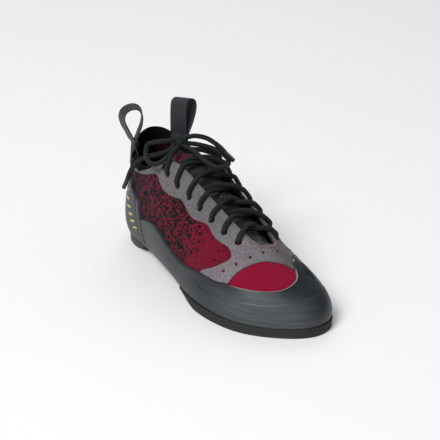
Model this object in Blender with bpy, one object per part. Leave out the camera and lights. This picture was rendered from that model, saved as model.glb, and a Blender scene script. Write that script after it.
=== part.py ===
"""A right climbing shoe: knit upper, microfibre overlay, rubber, tongue, laces and pull loops.

The frame has +X to the toe, +Y to the big toe's side, +Z up, and its origin on the floor under
the ball of the foot. Everything is worked out from the last, which is a closed band between the
feather line, where the upper meets the sole, and the top line, which runs round collar and throat.
"""
import functools
import math

import bmesh
import bpy
import numpy as np
from mathutils import Vector

# Driving sizes of the last, in metres
LENGTH = 0.250            # heel to toe
BALL = 0.094              # width over the ball
COLLAR = 0.097            # floor to the collar's back peak
BALL_PLACE = 0.70         # ball of the foot, as a share of the length from the heel

# Thicknesses
WALL = 0.0018             # knit upper
EYESTAY = 0.0008          # microfibre overlay
BINDING = 0.0009          # collar binding
RAND = 0.0019             # rubber round the foot and under it
TOE_RUBBER = 0.0014       # sheet over the toes
HEEL_RUBBER = 0.0022
OUTSOLE_LIP = 0.0011      # edge of the outsole that stands up outside the rand
SOLE_STACK = 0.0072       # feather line to floor, where the shoe stands
SOLE_THIN = 0.0028        # what outsole and heel sole lose towards the arch
TONGUE = 0.0026
INSOLE = 0.0016
STRAP = 0.0013            # pull loop webbing
GAP = 0.0003              # between pieces that touch
SEWN = 0.00045            # between the upper and what is sewn on its curve
FREE = 0.0008             # between pieces that slide

# Widths and lengths
STRAP_WIDTH = 0.0170
STRAP_GRIP = 0.0110       # length of each strap end on the collar's wall
LOOP_RISE = 0.0375        # top of a pull loop over the collar
LOOP_LEAN = 0.0050        # middle of a pull loop, outward of the collar
LOOP_SPAN = {"outer": 0.0225, "inner": 0.0150}     # a pull loop's width between its two legs
LACE = 0.0040
EYELET = 0.0052           # bore of a lace hole
LOOP_STEPS = 12
KEEPER_WIDTH = 0.0090
KEEPER_RISE = 0.0016
TIP_LENGTH = 0.0120
TIP_WIDTH = 0.0036
KNOT_SIZE = (0.0105, 0.0100, 0.0120)
TONGUE_SINK = 0.0035      # the tongue's middle under the line between the throat's edges

# The last's sections. x is in hundredths of LENGTH, y of BALL and z of COLLAR, and the four handle
# columns, which bow the wall between the feather line and the top line, are in hundredths of COLLAR.
SECTION_COLUMNS = ("sole_x", "sole_y", "sole_z", "top_x", "top_y", "top_z",
                   "low_out", "low_up", "high_out", "high_down")
OUTER_SECTIONS = (
    (4.8, 0.0, 7.0, 6.0, 0.0, 100.0, 13.0, 18.0, -3.0, 34.0),         # heel back
    (8.0, -17.0, 7.0, 8.0, -16.0, 94.0, 12.5, 17.0, -1.0, 33.0),      # heel corner
    (17.0, -25.0, 7.2, 14.5, -26.0, 83.0, 9.5, 16.0, 2.0, 29.0),      # heel side
    (27.0, -28.5, 10.0, 22.0, -29.0, 81.0, 8.0, 18.0, 4.0, 25.0),     # rubber seam
    (37.0, -33.5, 12.0, 30.5, -26.5, 89.0, 8.0, 20.0, 8.0, 24.0),     # arch
    (47.0, -37.5, 12.0, 39.5, -22.0, 96.0, 8.0, 20.0, 12.0, 22.0),    # waist
    (57.0, -40.5, 8.8, 50.0, -18.5, 89.5, 7.0, 18.0, 16.0, 17.0),     # behind the ball
    (68.0, -43.5, 7.0, 60.5, -16.5, 80.0, 6.0, 16.0, 20.0, 12.0),     # ball
    (79.0, -40.5, 7.0, 69.5, -13.0, 70.0, 6.0, 16.0, 22.0, 10.0),     # vamp
    (88.0, -30.0, 7.0, 75.5, -8.0, 62.0, 6.0, 16.0, 26.0, 10.0),      # toe side
    (95.0, -10.5, 7.0, 78.0, -2.0, 57.5, 6.0, 16.0, 28.0, 11.0),      # toe corner
    (99.0, 18.0, 7.2, 78.5, 5.0, 56.5, 6.5, 17.0, 28.0, 12.0),        # toe tip
)
INNER_SECTIONS = (
    (95.5, 35.5, 7.0, 78.0, 10.5, 56.0, 7.0, 17.0, 22.0, 13.0),       # toe corner
    (88.0, 42.0, 7.0, 75.5, 13.0, 58.0, 7.0, 17.5, 17.0, 14.0),       # toe side
    (79.0, 42.5, 7.0, 69.5, 14.5, 65.5, 7.0, 17.5, 17.0, 13.0),       # vamp
    (68.0, 37.0, 7.2, 60.5, 14.5, 75.5, 9.0, 18.0, 18.0, 15.0),       # ball
    (57.0, 27.0, 18.0, 50.0, 15.5, 86.0, 12.0, 20.0, 16.0, 19.0),     # behind the ball
    (47.0, 20.0, 25.0, 39.5, 18.5, 93.5, 12.0, 20.0, 13.0, 22.0),     # waist
    (37.0, 20.5, 21.0, 30.5, 24.0, 90.0, 9.0, 20.0, 8.0, 24.0),       # arch
    (27.0, 24.5, 12.0, 22.0, 28.0, 84.0, 8.0, 18.0, 4.0, 25.0),       # rubber seam
    (17.0, 25.0, 7.2, 14.5, 26.0, 86.0, 9.5, 16.0, 2.0, 29.0),        # heel side
    (8.0, 17.0, 7.0, 8.0, 16.0, 95.0, 12.5, 17.0, -1.0, 33.0),        # heel corner
)
SECTIONS = OUTER_SECTIONS + INNER_SECTIONS
TURN = len(SECTIONS)      # stations are numbered along the band; this many make one turn
TOE = 11                  # station of the toe tip
SEAM = 3                  # station where heel rubber meets rand, on either side
FINE = 3                  # columns of faces between two sections
THIN_COLUMNS = 3          # columns over which a sole thins out
ACROSS = 3                # faces across a floor

# Edge lines on the wall: (station, height), the height as a share of the wall from feather to top
RAND_LINE = ((3, 0.40), (4, 0.405), (5, 0.33), (6, 0.30), (7, 0.365), (8, 0.395), (9, 0.455),
             (10, 0.495), (10.67, 0.55), (11, 0.61), (11.33, 0.67), (12, 0.79), (13, 0.73),
             (14, 0.52), (15, 0.36), (16, 0.30), (17, 0.32), (18, 0.38), (19, 0.40))
TOE_LINE = ((7, 0.345), (7.33, 0.26), (8.33, 0.285), (9, 0.32), (10, 0.35), (10.67, 0.39),
            (11.33, 0.40), (12, 0.38), (13, 0.33), (14, 0.27), (14.67, 0.34))
HEEL_LINE = ((0, 0.88), (1, 0.80), (2, 0.745), (3, 0.59), (19, 0.59), (20, 0.745), (21, 0.80), (22, 0.88))
OVERLAY_LINE = ((1.33, 0.73), (2.67, 0.885), (4.33, 0.84), (4.8, 0.71), (5.25, 0.70), (5.67, 0.745),
                (6.5, 0.715), (7.25, 0.77), (7.67, 0.73), (8.33, 0.755), (8.67, 0.72), (9.33, 0.78))
PANEL_FRONT_LINE = ((7.33, 0.405), (8.33, 0.62), (8.67, 0.68), (9.33, 0.74))
WINDOW_LINE = ((8.33, 0.44), (8.67, 0.52), (9, 0.65), (9.33, 0.72), (10, 0.81), (10.67, 0.82),
               (11, 0.795), (11.33, 0.74), (11.67, 0.76))
PANEL_END = 8.33          # front tip of the knit side panel
WINDOW = (8.33, 11.67)    # the knit window over the toes
COLLAR_END = 4.0          # station where the collar ends and the throat begins
BINDING_LINE = 0.95
BINDING_END = 3.67
EDGE_GAP = 0.012          # between two pieces side by side on the wall, as a share of its height
OVERLAY_GAP = 0.017       # the same between overlay and rubber
SEAM_GAP = 0.02           # half the opening between heel rubber and rand, as a share of a station
OVERLAY_START = 1.33
LOOP_STATIONS = {"outer": 1.5, "inner": 20.3}
LIP_HEIGHT = 0.025        # top of the soles' standing edge
OUTSOLE_START = 6
HEEL_SOLE_END = 2.67
ARCH_RISE = 0.13          # how far the arch over the throat keeps the walls' direction
TONGUE_FOOT = 5.0         # last station that follows the throat; past it the tongue runs on straight
TONGUE_END = 10.33
TONGUE_TUCK = (0.86, 0.93)     # heights of the tongue's edges under the overlay
TONGUE_PAST = ((-0.022, 0.001, 0.86), (-0.011, 0.001, 0.95))   # metres back and up, share of the width
KEEPER_STATION = 6.4
KEEPER_ARCH = ((0.38, 0.0), (0.44, 1.0), (0.56, 1.0), (0.62, 0.0))   # place across, share of the rise

# Lace holes on each side: (station, height), from the toe up; the last one stays empty
EYELETS = ((8.6, 0.87), (7.9, 0.845), (7.3, 0.84), (6.7, 0.835), (6.1, 0.83), (5.45, 0.835),
           (4.85, 0.86), (4.35, 0.92))
CROSSINGS = 6             # the lace goes straight over at the hole after these

# The bow, in metres from the knot; its routes are chosen by hand from the picture
KNOT_AT = (-0.0940, -0.0080, 0.1045)
LOOP_OUTER = ((-0.0020, -0.0064, 0.0016), (-0.0045, -0.0120, 0.0012), (-0.0105, -0.0180, -0.0008),
              (-0.0140, -0.0215, -0.0035), (-0.0110, -0.0248, -0.0080), (-0.0040, -0.0275, -0.0115),
              (0.0035, -0.0280, -0.0130), (0.0085, -0.0245, -0.0120), (0.0110, -0.0190, -0.0080),
              (0.0100, -0.0120, -0.0038), (0.0072, -0.0060, -0.0015))
LOOP_INNER = ((0.0035, 0.0052, -0.0005), (0.0075, 0.0130, -0.0015), (0.0150, 0.0200, -0.0028),
              (0.0255, 0.0235, -0.0040), (0.0375, 0.0230, -0.0055), (0.0460, 0.0185, -0.0070),
              (0.0500, 0.0110, -0.0075), (0.0470, 0.0045, -0.0065), (0.0360, 0.0018, -0.0045),
              (0.0230, 0.0028, -0.0028), (0.0130, 0.0022, -0.0018), (0.0068, 0.0004, -0.0012))
END_OUTER = ((0.0008, -0.0048, -0.0027), (0.0000, -0.0112, -0.0062), (-0.0050, -0.0175, -0.0095),
             (-0.0130, -0.0215, -0.0130), (-0.0220, -0.0260, -0.0195), (-0.0300, -0.0280, -0.0290),
             (-0.0345, -0.0287, -0.0375))
END_INNER = ((0.0022, 0.0052, 0.0040), (0.0050, 0.0120, 0.0052), (0.0128, 0.0187, 0.0044),
             (0.0255, 0.0216, 0.0015), (0.0360, 0.0217, -0.0010))

# Colours, linear
KNIT = (0.36, 0.006, 0.03)
MICROFIBRE = (0.16, 0.155, 0.16)
RUBBER = (0.045, 0.052, 0.06)
SOLE_RUBBER = (0.045, 0.042, 0.038)
BLACK = (0.013, 0.013, 0.015)
WEBBING = (0.014, 0.015, 0.018)


def material(name, colour, roughness):
    """A plain finish, shared by the pieces that name it."""
    made = bpy.data.materials.get(name) or bpy.data.materials.new(name)
    made.use_nodes = True
    shader = made.node_tree.nodes["Principled BSDF"]
    shader.inputs["Base Color"].default_value = (*colour, 1.0)
    shader.inputs["Roughness"].default_value = roughness
    shader.inputs["Metallic"].default_value = 0.0
    return made


def closed_spline(knots, period, values):
    """A smooth closed curve through the values at the knots, as a function of the parameter."""
    count = len(knots)
    step = np.diff(np.append(knots, knots[0] + period))
    system = np.zeros((count, count))
    right = np.zeros_like(values)
    for i in range(count):
        before, after = step[i - 1], step[i]
        follower = (i + 1) % count
        system[i, i - 1] += before
        system[i, i] += 2 * (before + after)
        system[i, follower] += after
        right[i] = 6 * ((values[follower] - values[i]) / after - (values[i] - values[i - 1]) / before)
    bend = np.linalg.solve(system, right)

    def at(u):
        u = u % period
        i = int(np.searchsorted(knots, u, side="right")) - 1
        j = (i + 1) % count
        gone = u - knots[i]
        left = step[i] - gone
        return ((bend[i] * left ** 3 + bend[j] * gone ** 3) / (6 * step[i])
                + (values[i] / step[i] - bend[i] * step[i] / 6) * left
                + (values[j] / step[i] - bend[j] * step[i] / 6) * gone)
    return at


class Last:
    """The foot's shape as a closed band, read by station along it and height across it."""

    def __init__(self):
        table = np.array(SECTIONS, float) / 100.0
        column = SECTION_COLUMNS.index
        for name in ("sole_x", "top_x"):
            table[:, column(name)] = (table[:, column(name)] - BALL_PLACE) * LENGTH
        for name in ("sole_y", "top_y"):
            table[:, column(name)] *= BALL
        table[:, column("sole_z")] *= COLLAR
        table[:, column("top_z"):] *= COLLAR
        follower = np.roll(table, -1, axis=0)
        chord = (np.linalg.norm(follower[:, 0:3] - table[:, 0:3], axis=1)
                 + np.linalg.norm(follower[:, 3:6] - table[:, 3:6], axis=1))
        self.knots = np.concatenate([[0.0], np.cumsum(chord)[:-1]])
        self.period = float(chord.sum())
        self.at = closed_spline(self.knots, self.period, table)

    @functools.lru_cache(maxsize=None)
    def handles(self, station):
        """The four handles of the wall's curve at a station, from feather line to top line."""
        station = station % TURN
        marks = np.append(self.knots, self.period)
        u = float(np.interp(station, np.arange(TURN + 1), marks))
        nudge = 0.001 * self.period
        row = self.at(u)
        along = self.at(u + nudge)[:2] - self.at(u - nudge)[:2]
        along /= np.linalg.norm(along)
        out = np.array((along[1], -along[0], 0.0))
        up = np.array((0.0, 0.0, 1.0))
        feather, top = row[0:3], row[3:6]
        low_out, low_up, high_out, high_down = row[6:10]
        return (feather, feather + out * low_out + up * low_up,
                top + out * high_out - up * high_down, top, out)

    def place(self, station, height):
        a, b, c, d, _ = self.handles(station)
        rest = 1.0 - height
        return a * rest ** 3 + 3 * b * height * rest ** 2 + 3 * c * height ** 2 * rest + d * height ** 3

    def climb(self, station, height):
        """Direction of rising height."""
        a, b, c, d, _ = self.handles(station)
        rest = 1.0 - height
        slope = (b - a) * rest ** 2 + 2 * (c - b) * rest * height + (d - c) * height ** 2
        return slope / np.linalg.norm(slope)

    @functools.lru_cache(maxsize=None)
    def normal(self, station, height):
        nudge = 0.02
        along = self.place(station + nudge, height) - self.place(station - nudge, height)
        out = np.cross(along, self.climb(station, height))
        return out / np.linalg.norm(out)

    def point(self, station, height, lift=0.0):
        """A place on the wall, lifted off it along its normal."""
        return self.place(station, height) + self.normal(station, height) * lift

    def feather(self, station, outward=0.0, drop=0.0):
        """A place beside the feather line, for what goes under the foot."""
        start, *_, out = self.handles(station)
        place = start + out * outward
        return np.array((place[0], place[1], max(place[2] - drop, 0.0)))


LAST = Last()


def height_on(line, station):
    """The height of an edge line at a station."""
    stations, heights = zip(*line)
    return float(np.interp(station, stations, heights))


def other_side(station):
    return (TURN - station) % TURN


def stations(start, end):
    """The columns of faces from one station to another, ends included; a minus sign is before the heel."""
    first, last = round(start * FINE), round(end * FINE)
    return [k / FINE for k in range(first, last + 1)]


def finish(name, mesh, look, crease=35.0):
    made = bpy.data.objects.new(name, mesh)
    bpy.context.scene.collection.objects.link(made)
    mesh.materials.append(look)
    mesh.shade_smooth()
    mesh.set_sharp_from_angle(angle=math.radians(crease))
    return made


def sheet(name, cells, outside, inside, look):
    """A closed piece: one sheet of cells laid twice, outside and inside, and joined at its edges."""
    keys = sorted({key for cell in cells for key in cell})
    number = {key: i for i, key in enumerate(keys)}
    count = len(keys)
    outer = [[number[key] for key in cell] for cell in cells]
    edges = [frozenset((cell[i], cell[i - 1])) for cell in outer for i in range(len(cell))]
    rims = [(b, a, a + count, b + count) for a, b in sorted(tuple(sorted(edge)) for edge in edges
                                                            if edges.count(edge) == 1)]
    faces = outer + [[i + count for i in reversed(cell)] for cell in outer] + rims
    mesh = bpy.data.meshes.new(name)
    mesh.from_pydata([tuple(outside[key]) for key in keys] + [tuple(inside[key]) for key in keys], [], faces)
    work = bmesh.new()
    work.from_mesh(mesh)
    bmesh.ops.recalc_face_normals(work, faces=work.faces)
    work.to_mesh(mesh)
    work.free()
    return finish(name, mesh, look)


def grid_cells(columns, rows, closed=False, keep=lambda column, row: True):
    """Cells between neighbouring columns and rows, named by (column, row)."""
    last = columns if closed else columns - 1
    return [((i, j), ((i + 1) % columns, j), ((i + 1) % columns, j + 1), (i, j + 1))
            for i in range(last) for j in range(rows - 1) if keep(i, j)]


def wall_piece(name, columns, heights_at, lifts, look, closed=False, keep=lambda column, row: True):
    """A piece that follows the last's wall between two lifts off it."""
    heights = [heights_at(station) for station in columns]
    shells = [{(i, j): LAST.point(station, heights[i][j], lift)
               for i, station in enumerate(columns) for j in range(len(heights[i]))} for lift in lifts]
    cells = grid_cells(len(columns), len(heights[0]), closed, keep)
    return sheet(name, cells, shells[1], shells[0], look)


def spread(low, high, count):
    return [low + (high - low) * i / count for i in range(count + 1)]


def floor_rungs(half, across):
    """Cells of a floor whose rungs join a column to its mirror, down to the tip column."""
    cells = []
    for rung in range(half - 1):
        for k in range(across):
            cells.append((("floor", rung, k), ("floor", rung, k + 1),
                          ("floor", rung + 1, k + 1), ("floor", rung + 1, k)))
    for k in range(across):
        cells.append((("floor", half - 1, k), ("floor", half - 1, k + 1), ("floor", half, 0)))
    return cells


def floor_places(columns, across, outward, drop, thin=0.0):
    """The floor's places, straight across from one side's feather line to the other's.

    thin is what the piece loses at its open end, fading out over the first columns.
    """
    half = len(columns) // 2
    places = {}
    for rung in range(half):
        less = drop - thin * max(0.0, 1.0 - rung / THIN_COLUMNS)
        left = LAST.feather(columns[rung], outward, less)
        right = LAST.feather(columns[-1 - rung], outward, less)
        for k in range(across + 1):
            places["floor", rung, k] = left + (right - left) * k / across
    places["floor", half, 0] = LAST.feather(columns[half], outward, drop)
    return places


def cup(name, columns, top_at, rows, lifts, drops, outwards, look, thin=0.0):
    """Rubber that wraps the wall and runs on under the foot."""
    across = ACROSS
    half = len(columns) // 2
    walls = grid_cells(len(columns), rows + 1)
    corner = {}
    for i in range(len(columns)):
        rung, end = (i, 0) if i < half else (len(columns) - 1 - i, across)
        corner[i] = ("floor", half, 0) if i == half else ("floor", rung, end)
    skirt = [(corner[i], corner[i + 1], ("wall", i + 1, 0), ("wall", i, 0)) for i in range(len(columns) - 1)]
    cells = [tuple(("wall", *key) for key in cell) for cell in walls] + skirt
    cells += [tuple(reversed(cell)) for cell in floor_rungs(half, across)]
    shells = []
    for lift, drop, outward, less in zip(lifts, drops, outwards, (0.0, thin)):
        places = floor_places(columns, across, outward, drop, less)
        for i, station in enumerate(columns):
            for j, height in enumerate(spread(0.0, top_at(station), rows)):
                places["wall", i, j] = LAST.point(station, height, lift)
        shells.append(places)
    return sheet(name, cells, shells[1], shells[0], look)


def make_upper(look):
    """The knit wall, open above at collar and throat and below at the feather line."""
    heights = (0.0, 0.15, 0.32, 0.49, 0.65, 0.79, 0.90, 1.0)
    return wall_piece("upper", stations(0, TURN)[:-1], lambda station: heights, (-WALL, 0.0), look, closed=True)


def overlay_heights(station):
    """Rows of the overlay: lower edge, panel's front edge, panel's upper edge, and on to the top."""
    side = station if station <= TOE else other_side(station)
    scallop = height_on(OVERLAY_LINE, side)
    front = height_on(PANEL_FRONT_LINE, side)
    if side <= SEAM:
        scallop = max(scallop, height_on(HEEL_LINE, side) + EDGE_GAP)
    low = height_on(RAND_LINE, station) + OVERLAY_GAP
    if WINDOW[0] <= station <= WINDOW[1]:
        low = max(low, height_on(WINDOW_LINE, station))
    if side > PANEL_END:
        rest = 1.0 - low
        front = low + 0.3 * rest
        scallop = low + 0.55 * rest
    top = 1.0 if side >= COLLAR_END else BINDING_LINE - EDGE_GAP
    return (low, max(front, low + EDGE_GAP), scallop, (scallop + top) / 2, top)


def make_eyestay(look):
    """The grey overlay: round the throat and vamp, open at the knit panels and over the toes."""
    columns = stations(OVERLAY_START, TURN - OVERLAY_START)

    def keep(i, row):
        side = min(columns[i], TURN - columns[i + 1])
        start = {0: PANEL_FRONT_LINE[0][0], 1: PANEL_END}.get(row, 0.0)
        return round(side * FINE) >= round(start * FINE)

    return wall_piece("eyestay", columns, overlay_heights, (SEWN, SEWN + EYESTAY), look, keep=keep)


def make_binding(look):
    """The collar's edge, a strip round the back from one side of the throat to the other."""
    return wall_piece("collar_binding", stations(-BINDING_END, BINDING_END),
                      lambda station: (BINDING_LINE, 1.0), (GAP, GAP + BINDING), look)


def make_rand(look):
    """The rubber band round arch, ball and toe, with the sheet that runs under the foot."""
    def top(station):
        if TOE_LINE[0][0] <= station <= TOE_LINE[-1][0]:
            return height_on(TOE_LINE, station) - EDGE_GAP / 2
        return height_on(RAND_LINE, station)

    return cup("rand", stations(SEAM, TURN - SEAM), top, 3, (GAP, GAP + RAND), (GAP, GAP + RAND),
               (0.0, 0.0), look)


def make_toe_rubber(look):
    """The thinner sheet over the toes, on from the rand's edge."""
    return wall_piece("toe_rubber", stations(TOE_LINE[1][0], TOE_LINE[-2][0]),
                      lambda station: spread(height_on(TOE_LINE, station) + EDGE_GAP / 2,
                                             height_on(RAND_LINE, station), 3),
                      (SEWN, SEWN + TOE_RUBBER), look)


def make_heel_rubber(look):
    """The heel's rubber cup, tall at the back."""
    end = SEAM - SEAM_GAP
    columns = [max(-end, min(end, station)) for station in stations(-SEAM, SEAM)]
    return cup("heel_rubber", columns, lambda station: height_on(HEEL_LINE, station % TURN), 6,
               (GAP, GAP + HEEL_RUBBER), (GAP, GAP + RAND), (0.0, 0.0), look)


def make_outsole(look):
    """The wear rubber under the forefoot, flat on the floor, with a low edge outside the rand."""
    return sole_plate("outsole", stations(OUTSOLE_START, TURN - OUTSOLE_START), RAND, look)


def make_heel_sole(look):
    """The wear rubber under the heel."""
    return sole_plate("heel_sole", stations(-HEEL_SOLE_END, HEEL_SOLE_END), HEEL_RUBBER, look)


def sole_plate(name, columns, rubber, look):
    """A plate under the rubber cup, with a lip that follows the foot."""
    inner = GAP + rubber + GAP
    return cup(name, columns, lambda station: LIP_HEIGHT, 1, (inner, inner + OUTSOLE_LIP),
               (GAP + RAND + GAP, SOLE_STACK), (0.0, inner * 0.8), look, SOLE_THIN)


def insole_place(station, share, rise):
    """A place on the foot's bed, over the line from one side's feather to the other's."""
    left, right = LAST.feather(station), LAST.feather(other_side(station))
    near, far = (LAST.feather(place, -WALL - FREE) for place in (station, other_side(station)))
    place = near + (far - near) * share
    line = (right - left)[:2]
    gone = float(np.dot((place - left)[:2], line) / max(np.dot(line, line), 1e-9))
    return np.array((place[0], place[1], left[2] + (right[2] - left[2]) * gone + rise))


def make_insole(look):
    """The thin board that the foot stands on."""
    last = TOE * FINE
    shells = []
    for rise in (GAP, GAP + INSOLE):
        places = {(rung, k): insole_place(rung / FINE, share, rise)
                  for rung in range(1, last) for k, share in enumerate(spread(0.0, 1.0, ACROSS))}
        places[0, 0] = LAST.feather(0, -WALL - FREE, -rise)
        places[last, 0] = LAST.feather(TOE, -WALL - FREE, -rise)
        shells.append(places)
    cells = [((rung, k), (rung + 1, k), (rung + 1, k + 1), (rung, k + 1))
             for rung in range(1, last - 1) for k in range(ACROSS)]
    cells += [((0, 0), (1, k), (1, k + 1)) for k in range(ACROSS)]
    cells += [((last, 0), (last - 1, k + 1), (last - 1, k)) for k in range(ACROSS)]
    return sheet("insole", cells, shells[1], shells[0], look)


def bridge(start, leaving, end, arriving, share):
    """A place on the smooth arch from one throat edge to the other."""
    reach = np.linalg.norm(end - start) * ARCH_RISE
    a, b, c, d = start, start + leaving * reach, end + arriving * reach, end
    rest = 1.0 - share
    return a * rest ** 3 + 3 * b * share * rest ** 2 + 3 * c * share ** 2 * rest + d * share ** 3


def throat_arch(outer, inner, lift, share):
    """A place on the arch between two stations of the top line, lifted like the wall."""
    return bridge(LAST.point(outer, 1.0, lift), LAST.climb(outer, 1.0),
                  LAST.point(inner, 1.0, lift), LAST.climb(inner, 1.0), share)


TONGUE_LIFT = -(WALL + FREE)


def tongue_place(station, lift, share):
    """A place on the tongue between the throat's edges, where it sinks a little."""
    sink = TONGUE_SINK * math.sin(math.pi * share) ** 2
    return throat_arch(station, other_side(station), lift, share) - np.array((0.0, 0.0, sink))


def tongue_section(station, lift):
    """The tongue's places across the throat, from under one overlay to under the other."""
    mirror = other_side(station)
    row = [LAST.point(station, height, lift) for height in TONGUE_TUCK]
    row += [tongue_place(station, lift, share) for share in spread(0.0, 1.0, 5)]
    return row + [LAST.point(mirror, height, lift) for height in reversed(TONGUE_TUCK)]


def make_tongue(look):
    """The padded tongue, under the laces and just inside the throat's edges."""
    run = stations(TONGUE_FOOT, TONGUE_END)
    shells = []
    for lift in (TONGUE_LIFT, TONGUE_LIFT - TONGUE):
        places = {}
        foot = tongue_section(TONGUE_FOOT, lift)
        for i, (back, up, width) in enumerate(TONGUE_PAST):
            for j, place in enumerate(foot):
                places[i, j] = np.array((place[0] + back, place[1] * width, place[2] + up))
        for i, station in enumerate(run):
            for j, place in enumerate(tongue_section(station, lift)):
                places[i + len(TONGUE_PAST), j] = place
        shells.append(places)
    cells = grid_cells(len(run) + len(TONGUE_PAST), len(foot))
    return sheet("tongue", cells, shells[0], shells[1], look)


def ribbon(name, paths, thickness, look):
    """A strap: rows of places across its width, thickened to one side of its path."""
    rows, width = len(paths), len(paths[0])
    middle = [row[width // 2] for row in paths]
    inside = {}
    for i in range(rows):
        run = middle[min(i + 1, rows - 1)] - middle[max(i - 1, 0)]
        side = np.cross(run, paths[i][-1] - paths[i][0])
        side = side / np.linalg.norm(side) * thickness
        for j in range(width):
            inside[i, j] = paths[i][j] + side
    outside = {(i, j): paths[i][j] for i in range(rows) for j in range(width)}
    return sheet(name, grid_cells(rows, width), outside, inside, look)


def pull_loop_shape(span):
    """Outward and upward places round a teardrop, from the collar's outside to its inside."""
    shape = []
    for i in range(1, LOOP_STEPS):
        angle = math.pi * i / LOOP_STEPS
        out = LOOP_LEAN * math.sin(angle) + span / 2 * math.sin(2 * angle)
        shape.append((out, LOOP_RISE * math.sin(angle) ** 0.8))
    return shape


def make_pull_loop(name, station, span, look):
    """A webbing loop astride the collar: one end outside, one inside."""
    across = [STRAP_WIDTH / 2 * k for k in (-1, -0.5, 0, 0.5, 1)]
    rim = LAST.place(station, 1.0)
    along = (LAST.place(station + 0.1, 1.0) - LAST.place(station - 0.1, 1.0)) / 0.2
    per_station = np.linalg.norm(along)
    level = np.array((along[0], along[1], 0.0))
    level /= np.linalg.norm(level)
    out = LAST.handles(station)[-1]
    wall = np.linalg.norm(LAST.place(station, 1.0) - LAST.place(station, BINDING_LINE)) / (1.0 - BINDING_LINE)
    grip = STRAP_GRIP / wall

    def on_wall(share, lift):
        return [LAST.point(station + reach / per_station, 1.0 - grip * share, lift) for reach in across]

    paths = [on_wall(share, GAP + BINDING + GAP + STRAP) for share in (1.0, 0.5, 0.0)]
    for outward, upward in pull_loop_shape(span):
        middle = rim + out * outward + np.array((0.0, 0.0, upward))
        paths.append([middle + level * reach for reach in across])
    paths += [on_wall(share, -(WALL + GAP + STRAP)) for share in (0.0, 0.5, 1.0)]
    return ribbon(name, paths, STRAP, look)


def tube_mesh(name, route, radius, sides=6):
    """A closed tube along a route, with flat ends."""
    work = bmesh.new()
    places = [Vector(place) for place in route]
    rings = []
    side = None
    for i, place in enumerate(places):
        run = (places[min(i + 1, len(places) - 1)] - places[max(i - 1, 0)]).normalized()
        if side is None:
            side = run.orthogonal().normalized()
        side = (side - run * side.dot(run)).normalized()
        other = run.cross(side)
        rings.append([work.verts.new(place + (side * math.cos(turn) + other * math.sin(turn)) * radius)
                      for turn in (2 * math.pi * k / sides for k in range(sides))])
    for ring, following in zip(rings, rings[1:]):
        for k in range(sides):
            work.faces.new((ring[k], ring[(k + 1) % sides], following[(k + 1) % sides], following[k]))
    work.faces.new(list(reversed(rings[0])))
    work.faces.new(rings[-1])
    bmesh.ops.recalc_face_normals(work, faces=work.faces)
    mesh = bpy.data.meshes.new(name)
    work.to_mesh(mesh)
    work.free()
    return mesh


def boolean(target, cutter, operation):
    """A Boolean step on the target; the other object stays as a hidden guide."""
    step = target.modifiers.new(cutter.name, "BOOLEAN")
    step.object = cutter
    step.operation = operation
    cutter.hide_render = True
    cutter.display_type = "WIRE"


LACE_LIFT = SEWN + EYESTAY + GAP + LACE / 2
LACE_HUMP = 0.32          # how far a lace rises or dips where two cross, as a share of its width


def half_crossing(level, from_outer, over):
    """Route of one lace from its hole over the throat to the far edge, above the next hole's level."""
    hole, height = EYELETS[level]
    landing = (hole + EYELETS[level + 1][0]) / 2
    edge = hole * 0.75 + landing * 0.25
    near = [hole, (hole + edge) / 2, edge]
    if not from_outer:
        near, landing = [other_side(station) for station in near], other_side(landing)
    route = [LAST.point(near[0], height, LACE_LIFT), LAST.point(near[1], (height + 1.0) / 2, LACE_LIFT)]
    for share in spread(0.0, 1.0, 6):
        hump = math.sin(math.pi * share) ** 2 * LACE * LACE_HUMP
        rise = np.array((0.0, 0.0, hump if over else -hump))
        route.append(throat_arch(near[2], other_side(landing), LACE_LIFT, share) + rise)
    return route


def make_crossing(level, look):
    """Two laces that cross over the throat, joined where they touch."""
    name = f"lace_cross_{level + 1}"
    under = finish(name, tube_mesh(name, half_crossing(level, True, level % 2 == 0), LACE / 2), look)
    other = tube_mesh(name + "_guide", half_crossing(level, False, level % 2 == 1), LACE / 2)
    over = bpy.data.objects.new(name + "_guide", other)
    bpy.context.scene.collection.objects.link(over)
    boolean(under, over, "UNION")
    return under


def make_tie(look):
    """The lace from one top hole to the other, under the knot."""
    hole, height = EYELETS[CROSSINGS]
    route = [LAST.point(hole, height, LACE_LIFT), LAST.point(hole, (height + 1.0) / 2, LACE_LIFT)]
    under_knot = Vector(KNOT_AT) + Vector((0.0, 0.0, -KNOT_SIZE[2] / 2 - LACE / 2 - GAP))
    for share in spread(0.0, 1.0, 6):
        place = throat_arch(hole, other_side(hole), LACE_LIFT, share)
        pull = math.sin(math.pi * share) ** 3
        drawn = np.array(((under_knot.x - place[0]) * pull, 0.0, (under_knot.z - place[2]) * pull))
        route.append(place + drawn)
    route += [LAST.point(other_side(hole), (height + 1.0) / 2, LACE_LIFT),
              LAST.point(other_side(hole), height, LACE_LIFT)]
    return finish("lace_tie", tube_mesh("lace_tie", route, LACE / 2), look)


def smooth_route(places, spacing):
    """Places at a steady spacing on a smooth curve through the route's own."""
    points = [np.array(place, float) for place in places]
    ends = [2 * points[0] - points[1]] + points + [2 * points[-1] - points[-2]]
    curve = []
    for a, b, c, d in zip(ends, ends[1:], ends[2:], ends[3:]):
        for k in range(12):
            t = k / 12
            curve.append(0.5 * (2 * b + (c - a) * t + (2 * a - 5 * b + 4 * c - d) * t ** 2
                                + (3 * b - a - 3 * c + d) * t ** 3))
    curve.append(points[-1])
    gone = np.concatenate([[0.0], np.cumsum([np.linalg.norm(q - p) for p, q in zip(curve, curve[1:])])])
    count = max(4, round(gone[-1] / spacing))
    marks = np.linspace(0.0, gone[-1], count + 1)
    return [tuple(np.interp(mark, gone, [p[k] for p in curve]) for k in range(3)) for mark in marks]


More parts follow.
